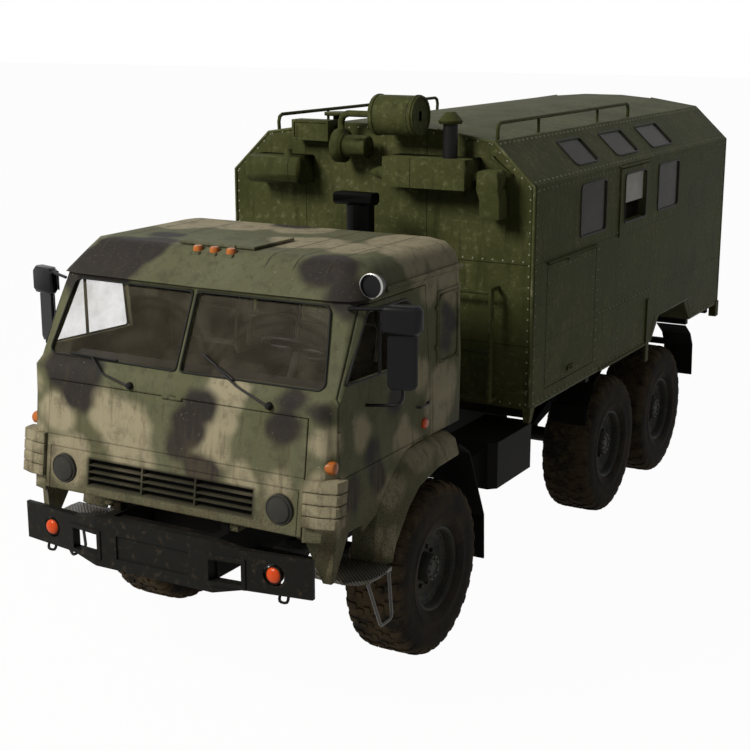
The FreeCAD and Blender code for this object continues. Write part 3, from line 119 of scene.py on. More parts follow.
scene.view_settings.view_transform = "Standard"
scene.world = bpy.data.worlds.new("studio")
scene.world.use_nodes = True
sky = scene.world.node_tree
sky.nodes.clear()
fill = add(sky, "ShaderNodeBackground", {"Color": linear("eef0ee"), "Strength": SKY_STRENGTH})
white = add(sky, "ShaderNodeBackground", {"Color": WHITE})
shown = add(sky, "ShaderNodeMixShader", {0: in_view(sky), 1: fill, 2: white})
add(sky, "ShaderNodeOutputWorld", {"Surface": shown})

# The floor shows almost white, and the small rest of its own matt paint keeps the truck's shadow.
floor_paint, tree, shader, _ = material("matt white floor paint")
shader.inputs["Base Color"].default_value = linear("cfcfcb")
shader.inputs["Roughness"].default_value = 0.9
glow = add(tree, "ShaderNodeEmission", {"Color": WHITE})
share = add(tree, "ShaderNodeMath", {0: in_view(tree), 1: FLOOR_WHITE}, operation="MULTIPLY")
lit = add(tree, "ShaderNodeMixShader", {0: share, 1: shader, 2: glow})
tree.links.new(lit.outputs[0], tree.nodes["Material Output"].inputs["Surface"])
floor_mesh = bpy.data.meshes.new("studio_floor")
floor_mesh.from_pydata([(x * FLOOR_HALF, y * FLOOR_HALF, 0) for x, y in ((-1, -1), (1, -1), (1, 1), (-1, 1))],
                       [], [(0, 1, 2, 3)])
floor_mesh.materials.append(floor_paint)
floor = bpy.data.objects.new("studio_floor", floor_mesh)
scene.collection.objects.link(floor)

# Six all-terrain tyres, 1190 mm across and 430 mm wide, moulded in black rubber with rows of staggered
# blocks and round shoulders. Dried brown mud fills the tread, and road dust greys the side walls.

TYRE_RADIUS = 0.595
TREAD_RADIUS = 0.582
TYRE_HALF = 0.215
BEAD_RADIUS = 0.29
TYRE_SIDES = 96
LUGS = 30
LUG_BEVEL = 0.003
LUG_TAPER = 0.9
MUD_FROM = 0.5
MUD_FADE = 0.06
WHEELS = [(place, side) for place in ("front", "mid", "rear") for side in ("left", "right")]


def grain(tree, coords, size, detail=3.0, rough=0.5, stretch=(1, 1, 1)):
    """An uneven grain with lumps of a size in metres, drawn out along an axis where stretch is over 1."""
    scale = [1 / (size * length) for length in stretch]
    mapped = add(tree, "ShaderNodeMapping", {"Vector": coords, "Scale": scale})
    return add(tree, "ShaderNodeTexNoise", {"Vector": mapped, "Scale": 1.0, "Detail": detail,
                                            "Roughness": rough})


def where(tree, *bounds):
    """Where a coat lies: its bounds multiplied, each a share or a (value, none, full) that fades in."""
    found = None
    for bound in bounds:
        if isinstance(bound, tuple):
            bound = add(tree, "ShaderNodeMapRange", {0: bound[0], 1: bound[1], 2: bound[2]},
                        interpolation_type="SMOOTHSTEP")
        if found is not None:
            bound = add(tree, "ShaderNodeMath", {0: found, 1: bound}, operation="MULTIPLY")
        found = bound
    return found


def coats(tree, colour, *layers):
    """A colour with others laid over it in turn, each as a (colour, *bounds) that says where it lies."""
    for over, *bounds in layers:
        under, over = [linear(one) if isinstance(one, str) else one for one in (colour, over)]
        colour = add(tree, "ShaderNodeMix", {0: where(tree, *bounds), 6: under, 7: over},
                     data_type="RGBA").outputs[2]
    return colour


def surface(tree, shader, colour, rough, gloss, height=None, depth=0.0, strength=1.0, edge=None):
    """Gives the shader its finish, raised by a depth where height is high, its edges rounded by edge."""
    tree.links.new(colour, shader.inputs["Base Color"])
    shader.inputs["Roughness"].default_value = rough
    shader.inputs["Specular IOR Level"].default_value = gloss
    if height:
        relief = {"Strength": strength, "Distance": depth, "Height": height}
        if edge:
            relief["Normal"] = add(tree, "ShaderNodeBevel", {"Radius": edge[0]}, samples=edge[1])
        tree.links.new(add(tree, "ShaderNodeBump", relief).outputs[0], shader.inputs["Normal"])


def tyre_rubber():
    """Vulcanised rubber: dull black, brown with dried mud low in the tread, greyer on the side walls."""
    made, tree, shader, coords = material("vulcanised tyre rubber")
    mud = grain(tree, coords, 0.16, 5, 0.62)
    grit = grain(tree, coords, 0.012, 4, 0.7)
    tread = add(tree, "ShaderNodeAttribute", attribute_name="tread").outputs["Fac"]
    dried = coats(tree, "33291f", ("5f523f", grit))
    colour = coats(tree, "262320", ("3a342c", (mud, 0.35, 0.7)), (dried, (mud, 0.36, 0.58), tread))
    surface(tree, shader, colour, 0.85, 0.06, grit, 0.002, 0.7)
    return made


def shaped(shape):
    """The mesh of a bmesh, which is freed."""
    mesh = bpy.data.meshes.new("shape")
    shape.to_mesh(mesh)
    shape.free()
    return mesh


def smooth(mesh, angle):
    """Rounds the shading over edges that turn less than an angle."""
    mesh.shade_smooth()
    mesh.set_sharp_from_angle(angle=math.radians(angle))
    return mesh


def joined(meshes):
    """Several meshes as one."""
    shape = bmesh.new()
    for mesh in meshes:
        shape.from_mesh(mesh)
    return shaped(shape)


def lathed(axis, at, profile, sides=32, angle=35, ring=False):
    """A solid or a ring turned about an axis through a point, from (radius, distance along it) points."""
    shape = bmesh.new()
    loops = []
    for radius, far in profile:
        loop = []
        for side in range(sides if radius else 1):
            turn = 2 * math.pi * side / sides
            across = (radius * math.cos(turn), radius * math.sin(turn))
            offset = {"x": (far, *across), "y": (across[0], far, across[1]), "z": (*across, far)}[axis]
            loop.append(shape.verts.new(Vector(at) + Vector(offset)))
        loops.append(loop)
    for loop, after in zip(loops, loops[1:] + loops[:1] if ring else loops[1:]):
        for side in range(sides):
            beside = (side + 1) % sides
            corners = [loop[side % len(loop)], loop[beside % len(loop)], after[beside % len(after)],
                       after[side % len(after)]]
            shape.faces.new(list(dict.fromkeys(corners)))
    for loop in (loops[0], loops[-1]):
        if len(loop) > 1 and not ring:
            shape.faces.new(loop)
    bmesh.ops.recalc_face_normals(shape, faces=shape.faces)
    return smooth(shaped(shape), angle)


def tread_block(outline, half):
    """A block of the tread with an outline of (radius, x) points, narrower on top, with its edges broken."""
    shape = bmesh.new()
    near, far = [[shape.verts.new((x, sign * half * (1 if radius < TREAD_RADIUS else LUG_TAPER), radius))
                  for radius, x in outline] for sign in (-1, 1)]
    shape.faces.new(near)
    shape.faces.new(far[::-1])
    for index in range(len(outline)):
        beside = (index + 1) % len(outline)
        shape.faces.new((near[beside], near[index], far[index], far[beside]))
    bmesh.ops.recalc_face_normals(shape, faces=shape.faces)
    bmesh.ops.bevel(shape, geom=shape.edges[:], offset=LUG_BEVEL, segments=1, affect="EDGES")
    return shaped(shape)


def carried(data):
    """A scratch object that holds a mesh or a curve while something is made of it."""
    carrier = bpy.data.objects.new("carrier", data)
    scene.collection.objects.link(carrier)
    return carrier


def made_plain(carrier):
    """What a scratch object has become, as a plain mesh; the object itself goes."""
    mesh = bpy.data.meshes.new_from_object(carrier.evaluated_get(bpy.context.evaluated_depsgraph_get()))
    bpy.data.objects.remove(carrier)
    return mesh


def repeating(name, *sizes):
    """A new geometry tree that takes a mesh, sizes by name and kind, and a finish, and what it is given."""
    tree = bpy.data.node_groups.new(name, "GeometryNodeTree")
    for title, kind in (("Geometry", "Geometry"), *sizes, ("Finish", "Material")):
        tree.interface.new_socket(title, in_out="INPUT", socket_type="NodeSocket" + kind)
    tree.interface.new_socket("Geometry", in_out="OUTPUT", socket_type="NodeSocketGeometry")
    return tree, add(tree, "NodeGroupInput").outputs


def set_out(tree, given, placing):
    """Copies put in their places, made one real mesh in the given finish."""
    copies = add(tree, "GeometryNodeInstanceOnPoints", placing)
    solid = add(tree, "GeometryNodeRealizeInstances", {0: copies})
    painted = add(tree, "GeometryNodeSetMaterial", {0: solid, "Material": given["Finish"]})
    add(tree, "NodeGroupOutput", {0: painted})


def ring_tree():
    """Repeats a shape round the X axis, every one a turn further."""
    tree, given = repeating("repeat round an axle", ("Count", "Int"), ("First turn", "Float"))
    points = add(tree, "GeometryNodePoints", {"Count": given["Count"], "Position": (0, 0, 0)})
    step = add(tree, "ShaderNodeMath", {0: 2 * math.pi, 1: given["Count"]}, operation="DIVIDE")
    index = add(tree, "GeometryNodeInputIndex")
    turn = add(tree, "ShaderNodeMath", {0: index, 1: step, 2: given["First turn"]}, operation="MULTIPLY_ADD")
    about = add(tree, "ShaderNodeCombineXYZ", {"X": turn})
    set_out(tree, given, {"Points": points, "Instance": given["Geometry"], "Rotation": about})
    return tree


def grown(mesh, tree, inputs):
    """The plain mesh that a geometry tree makes of a mesh."""
    carrier = carried(mesh)
    modifier = carrier.modifiers.new("grow", "NODES")
    modifier.node_group = tree
    for socket in tree.interface.items_tree:
        if socket.in_out == "INPUT" and socket.name in inputs:
            modifier[socket.identifier] = inputs[socket.name]
    return made_plain(carrier)


def fitted(name, mesh, finish, body, slot, *stands_for):
    """Fits a finished mesh to a body of the truck, where it may stand for CAD pieces."""
    piece = bpy.data.objects.new(name, mesh)
    scene.collection.objects.link(piece)
    mesh.materials.clear()
    mesh.materials.append(finish)
    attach(piece, body)
    if stands_for:
        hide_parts(*stands_for)
    return piece


def on_wheels(kind, mesh, finish, slot):
    """Puts a mesh made about the X axis on each wheel, where it stands for the CAD's plain one."""
    for place, side in WHEELS:
        low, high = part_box(f"{place}_{side}_tyre")
        moved = mesh.copy()
        moved.transform(Matrix.Translation(((low.x + high.x) / 2, (low.y + high.y) / 2, TYRE_RADIUS))
                        @ Matrix.Rotation(math.pi if side == "right" else 0, 4, "Z"))
        name = f"{place}_{side}_{kind}"
        fitted(name + "_dressed", moved, finish, f"{place}_{side}_wheel", slot, name)


rubber = tyre_rubber()
repeat_round = ring_tree()
half_profile = [(BEAD_RADIUS, 0.182), (0.31, 0.2), (0.35, 0.2085), (0.362, 0.2115), (0.372, 0.2085),
                (0.42, 0.2125), (0.455, TYRE_HALF), (0.5, 0.2125), (0.53, 0.206), (0.552, 0.195),
                (0.57, 0.178), (TREAD_RADIUS - 0.003, 0.15), (TREAD_RADIUS, 0.08)]
carcass = lathed("x", (0, 0, 0), [(radius, -x) for radius, x in half_profile] + [(TREAD_RADIUS, 0)]
                 + half_profile[::-1], TYRE_SIDES, ring=True)
lug_half = TREAD_RADIUS * math.sin(math.pi / (2 * LUGS))
lug_low = TREAD_RADIUS - 0.012
shoulder = [(lug_low, 0.108), (TYRE_RADIUS, 0.108), (TYRE_RADIUS - 0.004, 0.15), (0.578, 0.181),
            (0.556, 0.2), (0.522, 0.2115), (0.51, 0.2), (0.535, 0.17)]
middle, centre = [[(lug_low, inner), (TYRE_RADIUS, inner), (TYRE_RADIUS, outer), (lug_low, outer)]
                  for inner, outer in ((0.055, 0.1), (0.004, 0.047))]
lugs = []
for sign, first_turn in ((1, 0.0), (-1, math.pi / LUGS)):
    for outline, width, shift in ((shoulder, 0.9, 0), (middle, 0.8, 1), (centre, 0.85, 0.3)):
        lug = tread_block([(radius, x * sign) for radius, x in outline], lug_half * width)
        lug.transform(Matrix.Rotation(lug_half * shift / TREAD_RADIUS, 4, "X"))
        lugs.append(grown(lug, repeat_round, {"Count": LUGS, "First turn": first_turn, "Finish": rubber}))
tyre_mesh = smooth(joined([carcass] + lugs), 30)
tread = tyre_mesh.attributes.new("tread", "FLOAT", "POINT")
for number, vertex in enumerate(tyre_mesh.vertices):
    radius = math.hypot(vertex.co.y, vertex.co.z)
    tread.data[number].value = min(1, max(0, (radius - MUD_FROM) / MUD_FADE))
on_wheels("tyre", tyre_mesh, rubber, "tyre")

# Six pressed steel wheels in dull olive enamel. Each is a deep dish with a rolled edge, a ring of small
# studs, a flange with ten wheel nuts and a bolted hub cap in the middle. Mud has dulled them all.

RIM_SIDES = 64
RIM_RADIUS = 0.2895
RIM_BACK = -0.17
RIM_FACE = 0.181
DISH_FLOOR = 0.076
HUB_FACE = DISH_FLOOR + 0.082
NUTS = 10
NUT_CIRCLE = 0.135
STUDS = 20
STUD_CIRCLE = 0.24
CAP_BOLTS = 8
CAP_CIRCLE = 0.068


def wheel_enamel():
    """Olive enamel gone dull: dark, patchy with brake dust and brown where mud has dried on it."""
    made, tree, shader, coords = material("dull olive wheel enamel")
    cloud = grain(tree, coords, 0.12, 4)
    grit = grain(tree, coords, 0.01, 3, 0.7)
    colour = coats(tree, "20211e", ("30302a", (cloud, 0.35, 0.65)), ("4a4236", (grit, 0.52, 0.72)))
    surface(tree, shader, colour, 0.6, 0.12, grit, 0.001, 0.5)
    return made


wheel_paint = wheel_enamel()
wheel_parts = [lathed("x", (0, 0, 0), [
    (RIM_RADIUS, RIM_BACK), (RIM_RADIUS, RIM_FACE), (0.281, RIM_FACE + 0.004), (0.272, RIM_FACE - 0.004),
    (0.266, 0.155), (0.26, 0.12), (0.235, 0.113), (0.205, 0.109), (0.19, 0.09), (0.165, DISH_FLOOR + 0.004),
    (0.1, DISH_FLOOR + 0.004), (0.097, DISH_FLOOR + 0.06), (0.085, DISH_FLOOR + 0.085),
    (0.055, DISH_FLOOR + 0.09), (0.05, HUB_FACE), (0.002, HUB_FACE), (0.002, DISH_FLOOR - 0.02),
    (0.26, DISH_FLOOR - 0.008), (0.262, RIM_BACK)], RIM_SIDES, ring=True)]
for count, circle, radius, tip, low, high in (
        (NUTS, NUT_CIRCLE, 0.016, 0.0136, DISH_FLOOR - 0.004, DISH_FLOOR + 0.026),
        (STUDS, STUD_CIRCLE, 0.007, 0.0049, 0.105, 0.119),
        (CAP_BOLTS, CAP_CIRCLE, 0.008, 0.0064, DISH_FLOOR + 0.075, DISH_FLOOR + 0.098)):
    bolt = lathed("x", (0, circle, 0), [(radius, low), (radius, low + 0.8 * (high - low)), (tip, high)], 6)
    wheel_parts.append(grown(bolt, repeat_round, {"Count": count, "First turn": 0.0, "Finish": wheel_paint}))
on_wheels("rim", smooth(joined(wheel_parts), 40), wheel_paint, "rim_paint")

# The ladder frame, axles, springs, steering knuckles and tanks are welded and forged steel in black enamel,
# and the engine is bare cast iron. They sit low behind the wheels, so brown road dust covers them.

MERGE = 0.0001


def dusty_enamel(name, base, dust, cover, rough=0.6, size=0.35):
    """Enamel under road dust: the dust lies in clouds, thicker where cover is higher."""
    made, tree, shader, coords = material(name)
    cloud = grain(tree, coords, size, 4, 0.6)
    grit = grain(tree, coords, 0.015, 4, 0.7)
    colour = coats(tree, base, (dust, (cloud, 0.75 - cover * 0.5, 1.0 - cover * 0.5), (grit, 0.2, 0.6)))
    surface(tree, shader, colour, rough, 0.05, grit, 0.0015, 0.4, (0.006, 2))
    return made


def paint(finish, *pieces):
    """Gives CAD pieces their finish."""
    for piece in pieces:
        for place in nodes[piece].material_slots:
            place.material = finish


def softened(node, finish, body, slot, angle):
    """Shades a piece's many-sided forms as round ones and keeps its flats flat; it stands for the piece."""
    shape = bmesh.new()
    shape.from_mesh(nodes[node].data)
    bmesh.ops.remove_doubles(shape, verts=shape.verts, dist=MERGE)
    carrier = carried(smooth(shaped(shape), angle))
    normals = carrier.modifiers.new("normals", "WEIGHTED_NORMAL")
    normals.weight = 100
    normals.keep_sharp = True
    fitted(node + "_dressed", made_plain(carrier), finish, body, slot, node)


chassis_enamel = dusty_enamel("black chassis enamel", "11110f", "2b251c", 0.5)
paint(chassis_enamel, "frame_rails", "cross_members", "front_axle", "rear_axles", "leaf_springs",
      "left_knuckle", "right_knuckle")
paint(dusty_enamel("oily cast iron", "151412", "262019", 0.45, 0.5), "powertrain")
paint(dusty_enamel("black rubber guard sheet", "0d0d0b", "282318", 0.35, 0.75), "mudguards")
softened("side_tanks", dusty_enamel("black tank enamel", "0b0b09", "221d14", 0.4), "chassis", "van_paint", 35)
softened("air_intake", dusty_enamel("black moulded plastic", "060606", "141310", 0.4, 0.45), "chassis",
         "intake_plastic", 35)

# The front bumper is a folded steel channel in satin black enamel, scratched and streaked with dust. An
# orange fog lamp stands behind each of its two round holes, on a steel strap.

FOG_AT = (0.853, -3.674, 1.002)


def mirrored(mesh):
    """The same mesh on the truck's other side."""
    shape = bmesh.new()
    shape.from_mesh(mesh)
    for vertex in shape.verts:
        vertex.co.x = -vertex.co.x
    bmesh.ops.reverse_faces(shape, faces=shape.faces)
    return shaped(shape)


def both(mesh):
    """A mesh and its like on the truck's other side."""
    return joined([mesh, mirrored(mesh)])


def moulded(name, colour, rough, size=0.02, lacquer=0.0):
    """Moulded plastic or rubber: nearly even in colour, with a fine grain."""
    made, tree, shader, coords = material(name)
    fine = grain(tree, coords, size, 3)
    dark = [channel * 0.7 for channel in linear(colour)[:3]] + [1]
    surface(tree, shader, coats(tree, dark, (colour, fine)), rough, 0.15, fine, 0.0005, 0.4)
    shader.inputs["Coat Weight"].default_value = lacquer
    return made


bumper_enamel = dusty_enamel("satin black bumper enamel", "1a1a18", "3f372b", 0.45, 0.45, 0.05)
orange_lens = moulded("moulded orange lens", "d84a0c", 0.3, 0.01, 0.12)
paint(bumper_enamel, "front_bumper")
paint(orange_lens, "fog_lamps")
lens = lathed("y", FOG_AT, [(0.05, 0), (0.05, -0.004), (0.044, -0.014), (0.03, -0.022), (0, -0.026)])
bezel = lathed("y", FOG_AT, [(0.0525, 0.02), (0.057, 0.02), (0.057, -0.008), (0.051, -0.008)], ring=True)
fitted("fog_lamp_lenses", both(lens), orange_lens, "chassis", "lamp_amber")
fitted("fog_lamp_bezels", both(bezel), bumper_enamel, "chassis", "bumper_paint")

# The steps under the doors are welded from round bar and a plate with raised treads, in the bumper's black
# enamel. Boots keep the raised bars bare, and dust lies between them.

STEP_TOP = 0.890
BAR_SCALE = 22.0


def tread_plate():
    """Chequered plate: rows of small raised bars, worn bright on top and dusty between."""
    made, tree, shader, coords = material("worn chequered plate")
    height = add(tree, "ShaderNodeSeparateXYZ", {0: coords}).outputs["Z"]
    wave = add(tree, "ShaderNodeTexWave", {"Vector": coords, "Scale": BAR_SCALE},
               bands_direction="DIAGONAL").outputs["Fac"]
    bars = where(tree, wave, (height, STEP_TOP - 0.027, STEP_TOP - 0.022))
    grit = grain(tree, coords, 0.012, 4, 0.7)
    colour = coats(tree, "211f1b", ("3d382f", grit), ("5d564a", (bars, 0.6, 0.9)))
    surface(tree, shader, colour, 0.5, 0.5, bars, 0.004, 0.8)
    shader.inputs["Metallic"].default_value = 0.4
    return made


softened("front_steps", tread_plate(), "chassis", "bumper_paint", 40)

# The cab is pressed steel, sprayed by hand with three matt colours: green all over, then dark brown and
# sandy blots with soft edges that run on across doors, lid and wings. Dust and mud dull its lower half.

GREEN = "5e5f4a"
GREEN_WORN = "55563f"
SAND = "938b73"
DARK = "2b2826"
DUST = "6f6450"
MUD = "30271c"
PRIMER = "b3a789"
GRIME = "37322a"
RAIN = "3b3628"
# Painted shade: the colour below darkens the cab paint across the grille's band, as the grille's recess in
# shade.
GRILLE_SHADE = "201e19"
# Painted shade: the colour below darkens the cab roof along its ribs.
RIB_SHADE = "35322a"
SPRAY_SOFT = 0.04
SPRAY_MERGE = 0.06
HAND_SWAY = 0.22
ROOF_RIBS = (-0.86, -0.56, 0.42, 0.62, 0.86)
# The blots' centres and radii are in centimetres.
DARK_BLOTS = [
    (-74, -347, 195, 18), (-93, -346, 202, 12), (22, -350, 193, 11), (12, -350, 179, 14),
    (5, -352, 166, 11), (22, -354, 152, 13), (84, -349, 184, 12), (86, -346, 202, 11), (106, -350, 198, 8),
    (-75, -309, 269, 27), (-95, -315, 262, 20), (-58, -298, 277, 20), (84, -298, 272, 20),
    (105, -315, 264, 15), (115, -302, 163, 9), (115, -296, 147, 11), (115, -326, 145, 13),
    (113, -326, 255, 10), (115, -202, 236, 9), (115, -198, 224, 10), (115, -204, 212, 7),
    (115, -274, 188, 12), (-115, -290, 190, 20), (-115, -220, 230, 17), (-115, -320, 148, 15),
    (-115, -200, 162, 15), (-50, -178, 220, 28), (60, -178, 190, 24), (-65, -266, 278, 12),
    (-10, -178, 275, 20),
]
SAND_BLOTS = [
    (-36, -352, 169, 21), (-52, -350, 178, 13), (-93, -350, 174, 16), (33, -350, 183, 14),
    (38, -347, 203, 15), (30, -352, 166, 12), (-80, -354, 144, 16), (-30, -355, 150, 16),
    (52, -354, 150, 13), (80, -353, 150, 10), (112, -350, 179, 10), (-86, -210, 278, 30),
    (-40, -202, 278, 24), (90, -212, 278, 30), (110, -245, 274, 18), (113, -200, 270, 26),
    (36, -250, 278, 24), (72, -255, 278, 20), (2, -195, 278, 22), (115, -208, 178, 22),
    (115, -188, 252, 16), (115, -314, 179, 10), (115, -234, 196, 9), (115, -228, 252, 10),
    (115, -260, 160, 12), (115, -245, 202, 7), (120, -215, 145, 18), (120, -250, 150, 16),
    (120, -284, 136, 13), (120, -292, 104, 9), (-115, -260, 170, 20), (-115, -210, 202, 18),
    (-115, -330, 190, 14), (-120, -230, 140, 20), (10, -178, 240, 26), (-90, -178, 180, 24),
    (117, -350, 142, 20), (-117, -350, 142, 20),
]


def blots(tree, coords, places):
    """Where a colour is sprayed: inside any of the balls given by centre and radius, with a soft edge."""
    nearest = None
    for ball in places:
        *middle, radius = [length / 100 for length in ball]
        away = add(tree, "ShaderNodeVectorMath", {0: coords, 1: middle}, operation="DISTANCE")
        edge = add(tree, "ShaderNodeMath", {0: away.outputs["Value"], 1: radius}, operation="SUBTRACT")
        nearest = edge if nearest is None else add(
            tree, "ShaderNodeMath", {0: nearest, 1: edge, 2: SPRAY_MERGE}, operation="SMOOTH_MIN")
    return where(tree, (nearest, SPRAY_SOFT, -SPRAY_SOFT))


def seams(tree, *lines):
    """Where any line runs: within half of one of the places of a value, inside the line's bounds."""
    found = 0.0
    for value, places, half, *bounds in lines:
        for place in places:
            away = add(tree, "ShaderNodeMath", {0: value, 1: place}, operation="SUBTRACT")
            away = add(tree, "ShaderNodeMath", {0: away}, operation="ABSOLUTE")
            near = where(tree, (away, half * 1.4, half * 0.6), *bounds)
            found = add(tree, "ShaderNodeMath", {0: found, 1: near}, operation="MAXIMUM")
    return found


def camouflage_enamel():
    """Matt camouflage enamel: sprayed edges, fine chips, dust below the belt and mud by the wheels, with
    painted shade over the grille and along the roof ribs.
    """
    made, tree, shader, coords = material("hand sprayed camouflage enamel")
    x, y, z = add(tree, "ShaderNodeSeparateXYZ", {0: coords}).outputs
    wide = add(tree, "ShaderNodeMath", {0: x}, operation="ABSOLUTE")
    hand = add(tree, "ShaderNodeTexNoise", {"Vector": coords, "Scale": 3.0, "Detail": 2.0}).outputs["Color"]
    centred = add(tree, "ShaderNodeVectorMath", {0: hand, 1: (0.5, 0.5, 0.5)}, operation="SUBTRACT")
    swayed = add(tree, "ShaderNodeVectorMath", {0: centred, 1: [HAND_SWAY] * 3, 2: coords},
                 operation="MULTIPLY_ADD")
    cloud = grain(tree, coords, 0.45, 4)
    grit = grain(tree, coords, 0.008, 4, 0.75)
    streak = grain(tree, coords, 0.05, 4, 0.6, (1, 1, 9))
    # Lines along the roof ribs: they raise the relief, and the colour laid on them is painted shade.
    rib_relief_and_shade = seams(tree, (x, ROOF_RIBS, 0.006, (z, 2.70, 2.73)))
    colour = coats(
        tree, GREEN_WORN, (GREEN, (cloud, 0.3, 0.7)),
        (SAND, blots(tree, swayed, SAND_BLOTS)),
        (DARK, blots(tree, swayed, DARK_BLOTS)),
        (DUST, 0.6, (z, 1.95, 1.15), (streak, 0.35, 0.7)),
        (MUD, 0.85, (z, 1.65, 1.1), (grit, 0.5, 0.6)),
        (PRIMER, 0.7, (grain(tree, coords, 0.016, 5, 0.8), 0.64, 0.68)),
        (GRIME, 0.5, (grain(tree, coords, 0.12, 6, 0.75), 0.45, 0.72)),
        (RAIN, 0.4, (streak, 0.52, 0.7)),
        # Painted shade across the grille's band below the headlamps.
        (GRILLE_SHADE, 0.7, (wide, 0.66, 0.63), (z, 1.27, 1.29), (z, 1.48, 1.46), (y, -3.4, -3.5)),
        # Painted shade along the roof ribs.
        (RIB_SHADE, 0.7, rib_relief_and_shade))
    dents = where(tree, 0.15, grain(tree, coords, 0.03, 4))
    raised = add(tree, "ShaderNodeMath", {0: dents, 1: rib_relief_and_shade}, operation="ADD")
    surface(tree, shader, colour, 0.65, 0.08, raised, 0.006, 0.7, (0.014, 3))
    return made


camouflage = camouflage_enamel()
paint(camouflage, "front_lid", "roof_hatch", "left_door", "right_door")
softened("cab_shell", camouflage, "cab", "cab_paint", 35)
softened("cab_wings", camouflage, "cab", "cab_paint", 32)

# Black rubber beads hold the panes of the windscreen, doors and rear window; a painted one frames each
# quarter panel. Two wipers lie on the glass: each a steel arm on a spindle, and a blade with a rubber edge.

SCREEN_LOW = (-3.437, 2.045)
SCREEN_HIGH = (-3.196, 2.575)
SCREEN_BOW = 0.02
WIPER_PIVOTS = ((-0.331, -3.476, 1.962), (0.709, -3.475, 1.970))


def rounded(points, bend, steps=5, closed=False):
    """The line through points with each corner turned into a short curve."""
    points = [Vector(point) for point in points]
    line = []
    for index, corner in enumerate(points):
        if not closed and index in (0, len(points) - 1):
            line.append(corner)
            continue
        back = points[index - 1] - corner
        ahead = points[(index + 1) % len(points)] - corner
        reach = min(bend, back.length / 2.01, ahead.length / 2.01)
        start = corner + back.normalized() * reach
        end = corner + ahead.normalized() * reach
        for step in range(steps + 1):
            t = step / steps
            line.append(start * (1 - t) ** 2 + corner * 2 * t * (1 - t) + end * t ** 2)
    return line


def bead(points, radius, closed=False):
    """A round bar of one thickness along a line of points."""
    curve = bpy.data.curves.new("bead", "CURVE")
    curve.dimensions = "3D"
    curve.bevel_depth = radius
    curve.bevel_resolution = 2
    curve.use_fill_caps = True
    spline = curve.splines.new("POLY")
    spline.points.add(len(points) - 1)
    for place, point in zip(spline.points, points):
        place.co = (*point, 1)
    spline.use_cyclic_u = closed
    return smooth(made_plain(carried(curve)), 50)


def hoop(points, bend, radius, steps=5):
    """A closed bead round an opening with rounded corners."""
    return bead(rounded(points, bend, steps, True), radius, True)


def on_screen(x, z, out=0.0):
    """A point of the leaning windscreen, a little out from it."""
    share = (z - SCREEN_LOW[1]) / (SCREEN_HIGH[1] - SCREEN_LOW[1])
    return x, SCREEN_LOW[0] + share * (SCREEN_HIGH[0] - SCREEN_LOW[0]) + SCREEN_BOW * abs(x) - out, z


def on_doors(name, mesh, finish, slot):
    """A fitting of the left door, and its like on the right door."""
    for side, placed in (("left", mesh), ("right", mirrored(mesh))):
        fitted(f"{side}_{name}", placed, finish, f"{side}_door", slot)


seal = moulded("black rubber seal", "1a1b17", 0.6)
screen_line = [on_screen(x, z, 0.003) for x, z in (
    (0.015, 2.082), (1.015, 2.082), (1.043, 2.112), (0.973, 2.52), (0.94, 2.547), (0.015, 2.547))]
rear_line = [(-0.56, -1.768, 2.08), (0.56, -1.768, 2.08), (0.56, -1.806, 2.44), (-0.56, -1.806, 2.44)]
quarter_line = [(1.1505, y, z) for y, z in (
    (-2.148, 2.008), (-1.872, 2.008), (-1.872, 2.452), (-2.148, 2.452))]
door_line = [(1.147, y, z) for y, z in (
    (-3.325, 2.112), (-3.071, 2.51), (-2.597, 2.503), (-2.515, 2.45), (-2.476, 2.082))]
fitted("screen_seals", joined([both(hoop(screen_line, 0.03, 0.0065, 4)), hoop(rear_line, 0.05, 0.01)]), seal,
       "cab", "dash_plastic")
fitted("quarter_beads", both(hoop(quarter_line, 0.06, 0.007)), camouflage, "cab", "cab_paint")
quarter_light = bead([(1.14, -2.915, 2.095), (1.14, -2.92, 2.505)], 0.011)
on_doors("door_seal", joined([hoop(door_line, 0.03, 0.008, 4), quarter_light]), seal, "dash_plastic")

wiper_paint = moulded("black wiper enamel", "171615", 0.4)
for number, (pivot, knee, inner, outer) in enumerate((
        (WIPER_PIVOTS[0], (-0.55, 2.02), (-0.47, 2.095), (-0.86, 2.1)),
        (WIPER_PIVOTS[1], (0.47, 2.06), (0.42, 2.083), (0.155, 2.205)))):
    middle = ((inner[0] + outer[0]) / 2, (inner[1] + outer[1]) / 2)
    foot = (pivot[0], pivot[1] - 0.018, pivot[2])
    arm = bead([foot, on_screen(*knee, 0.05), on_screen(*middle, 0.032)], 0.0075)
    blade = bead([on_screen(*inner, 0.016), on_screen(*middle, 0.02), on_screen(*outer, 0.016)], 0.008)
    spindle = lathed("y", pivot, [(0.024, 0.02), (0.024, -0.012), (0.014, -0.03), (0, -0.034)], 20)
    fitted(f"wiper_{number + 1}", joined([arm, blade, spindle]), wiper_paint, "cab", "mirror_black")

# Door fittings: a pressed handle with its lock button, and an orange side marker at the door's lower rear
# corner. Two hinge straps hold each quarter panel.

DOOR_SKIN = 1.143
HANDLE_Z = 1.772
MARKER_AT = (DOOR_SKIN, -2.336, 1.644)
STRAP_FEET = (2.1, 2.36)


def block(low, high, bevel=0.003):
    """A box between two corners with rolled edges."""
    shape = bmesh.new()
    bmesh.ops.create_cube(shape, size=1)
    for vertex in shape.verts:
        vertex.co = Vector([(a + b) / 2 + c * (b - a) for a, b, c in zip(low, high, vertex.co)])
    bmesh.ops.bevel(shape, geom=shape.edges[:], offset=bevel, segments=2, affect="EDGES")
    return smooth(shaped(shape), 30)


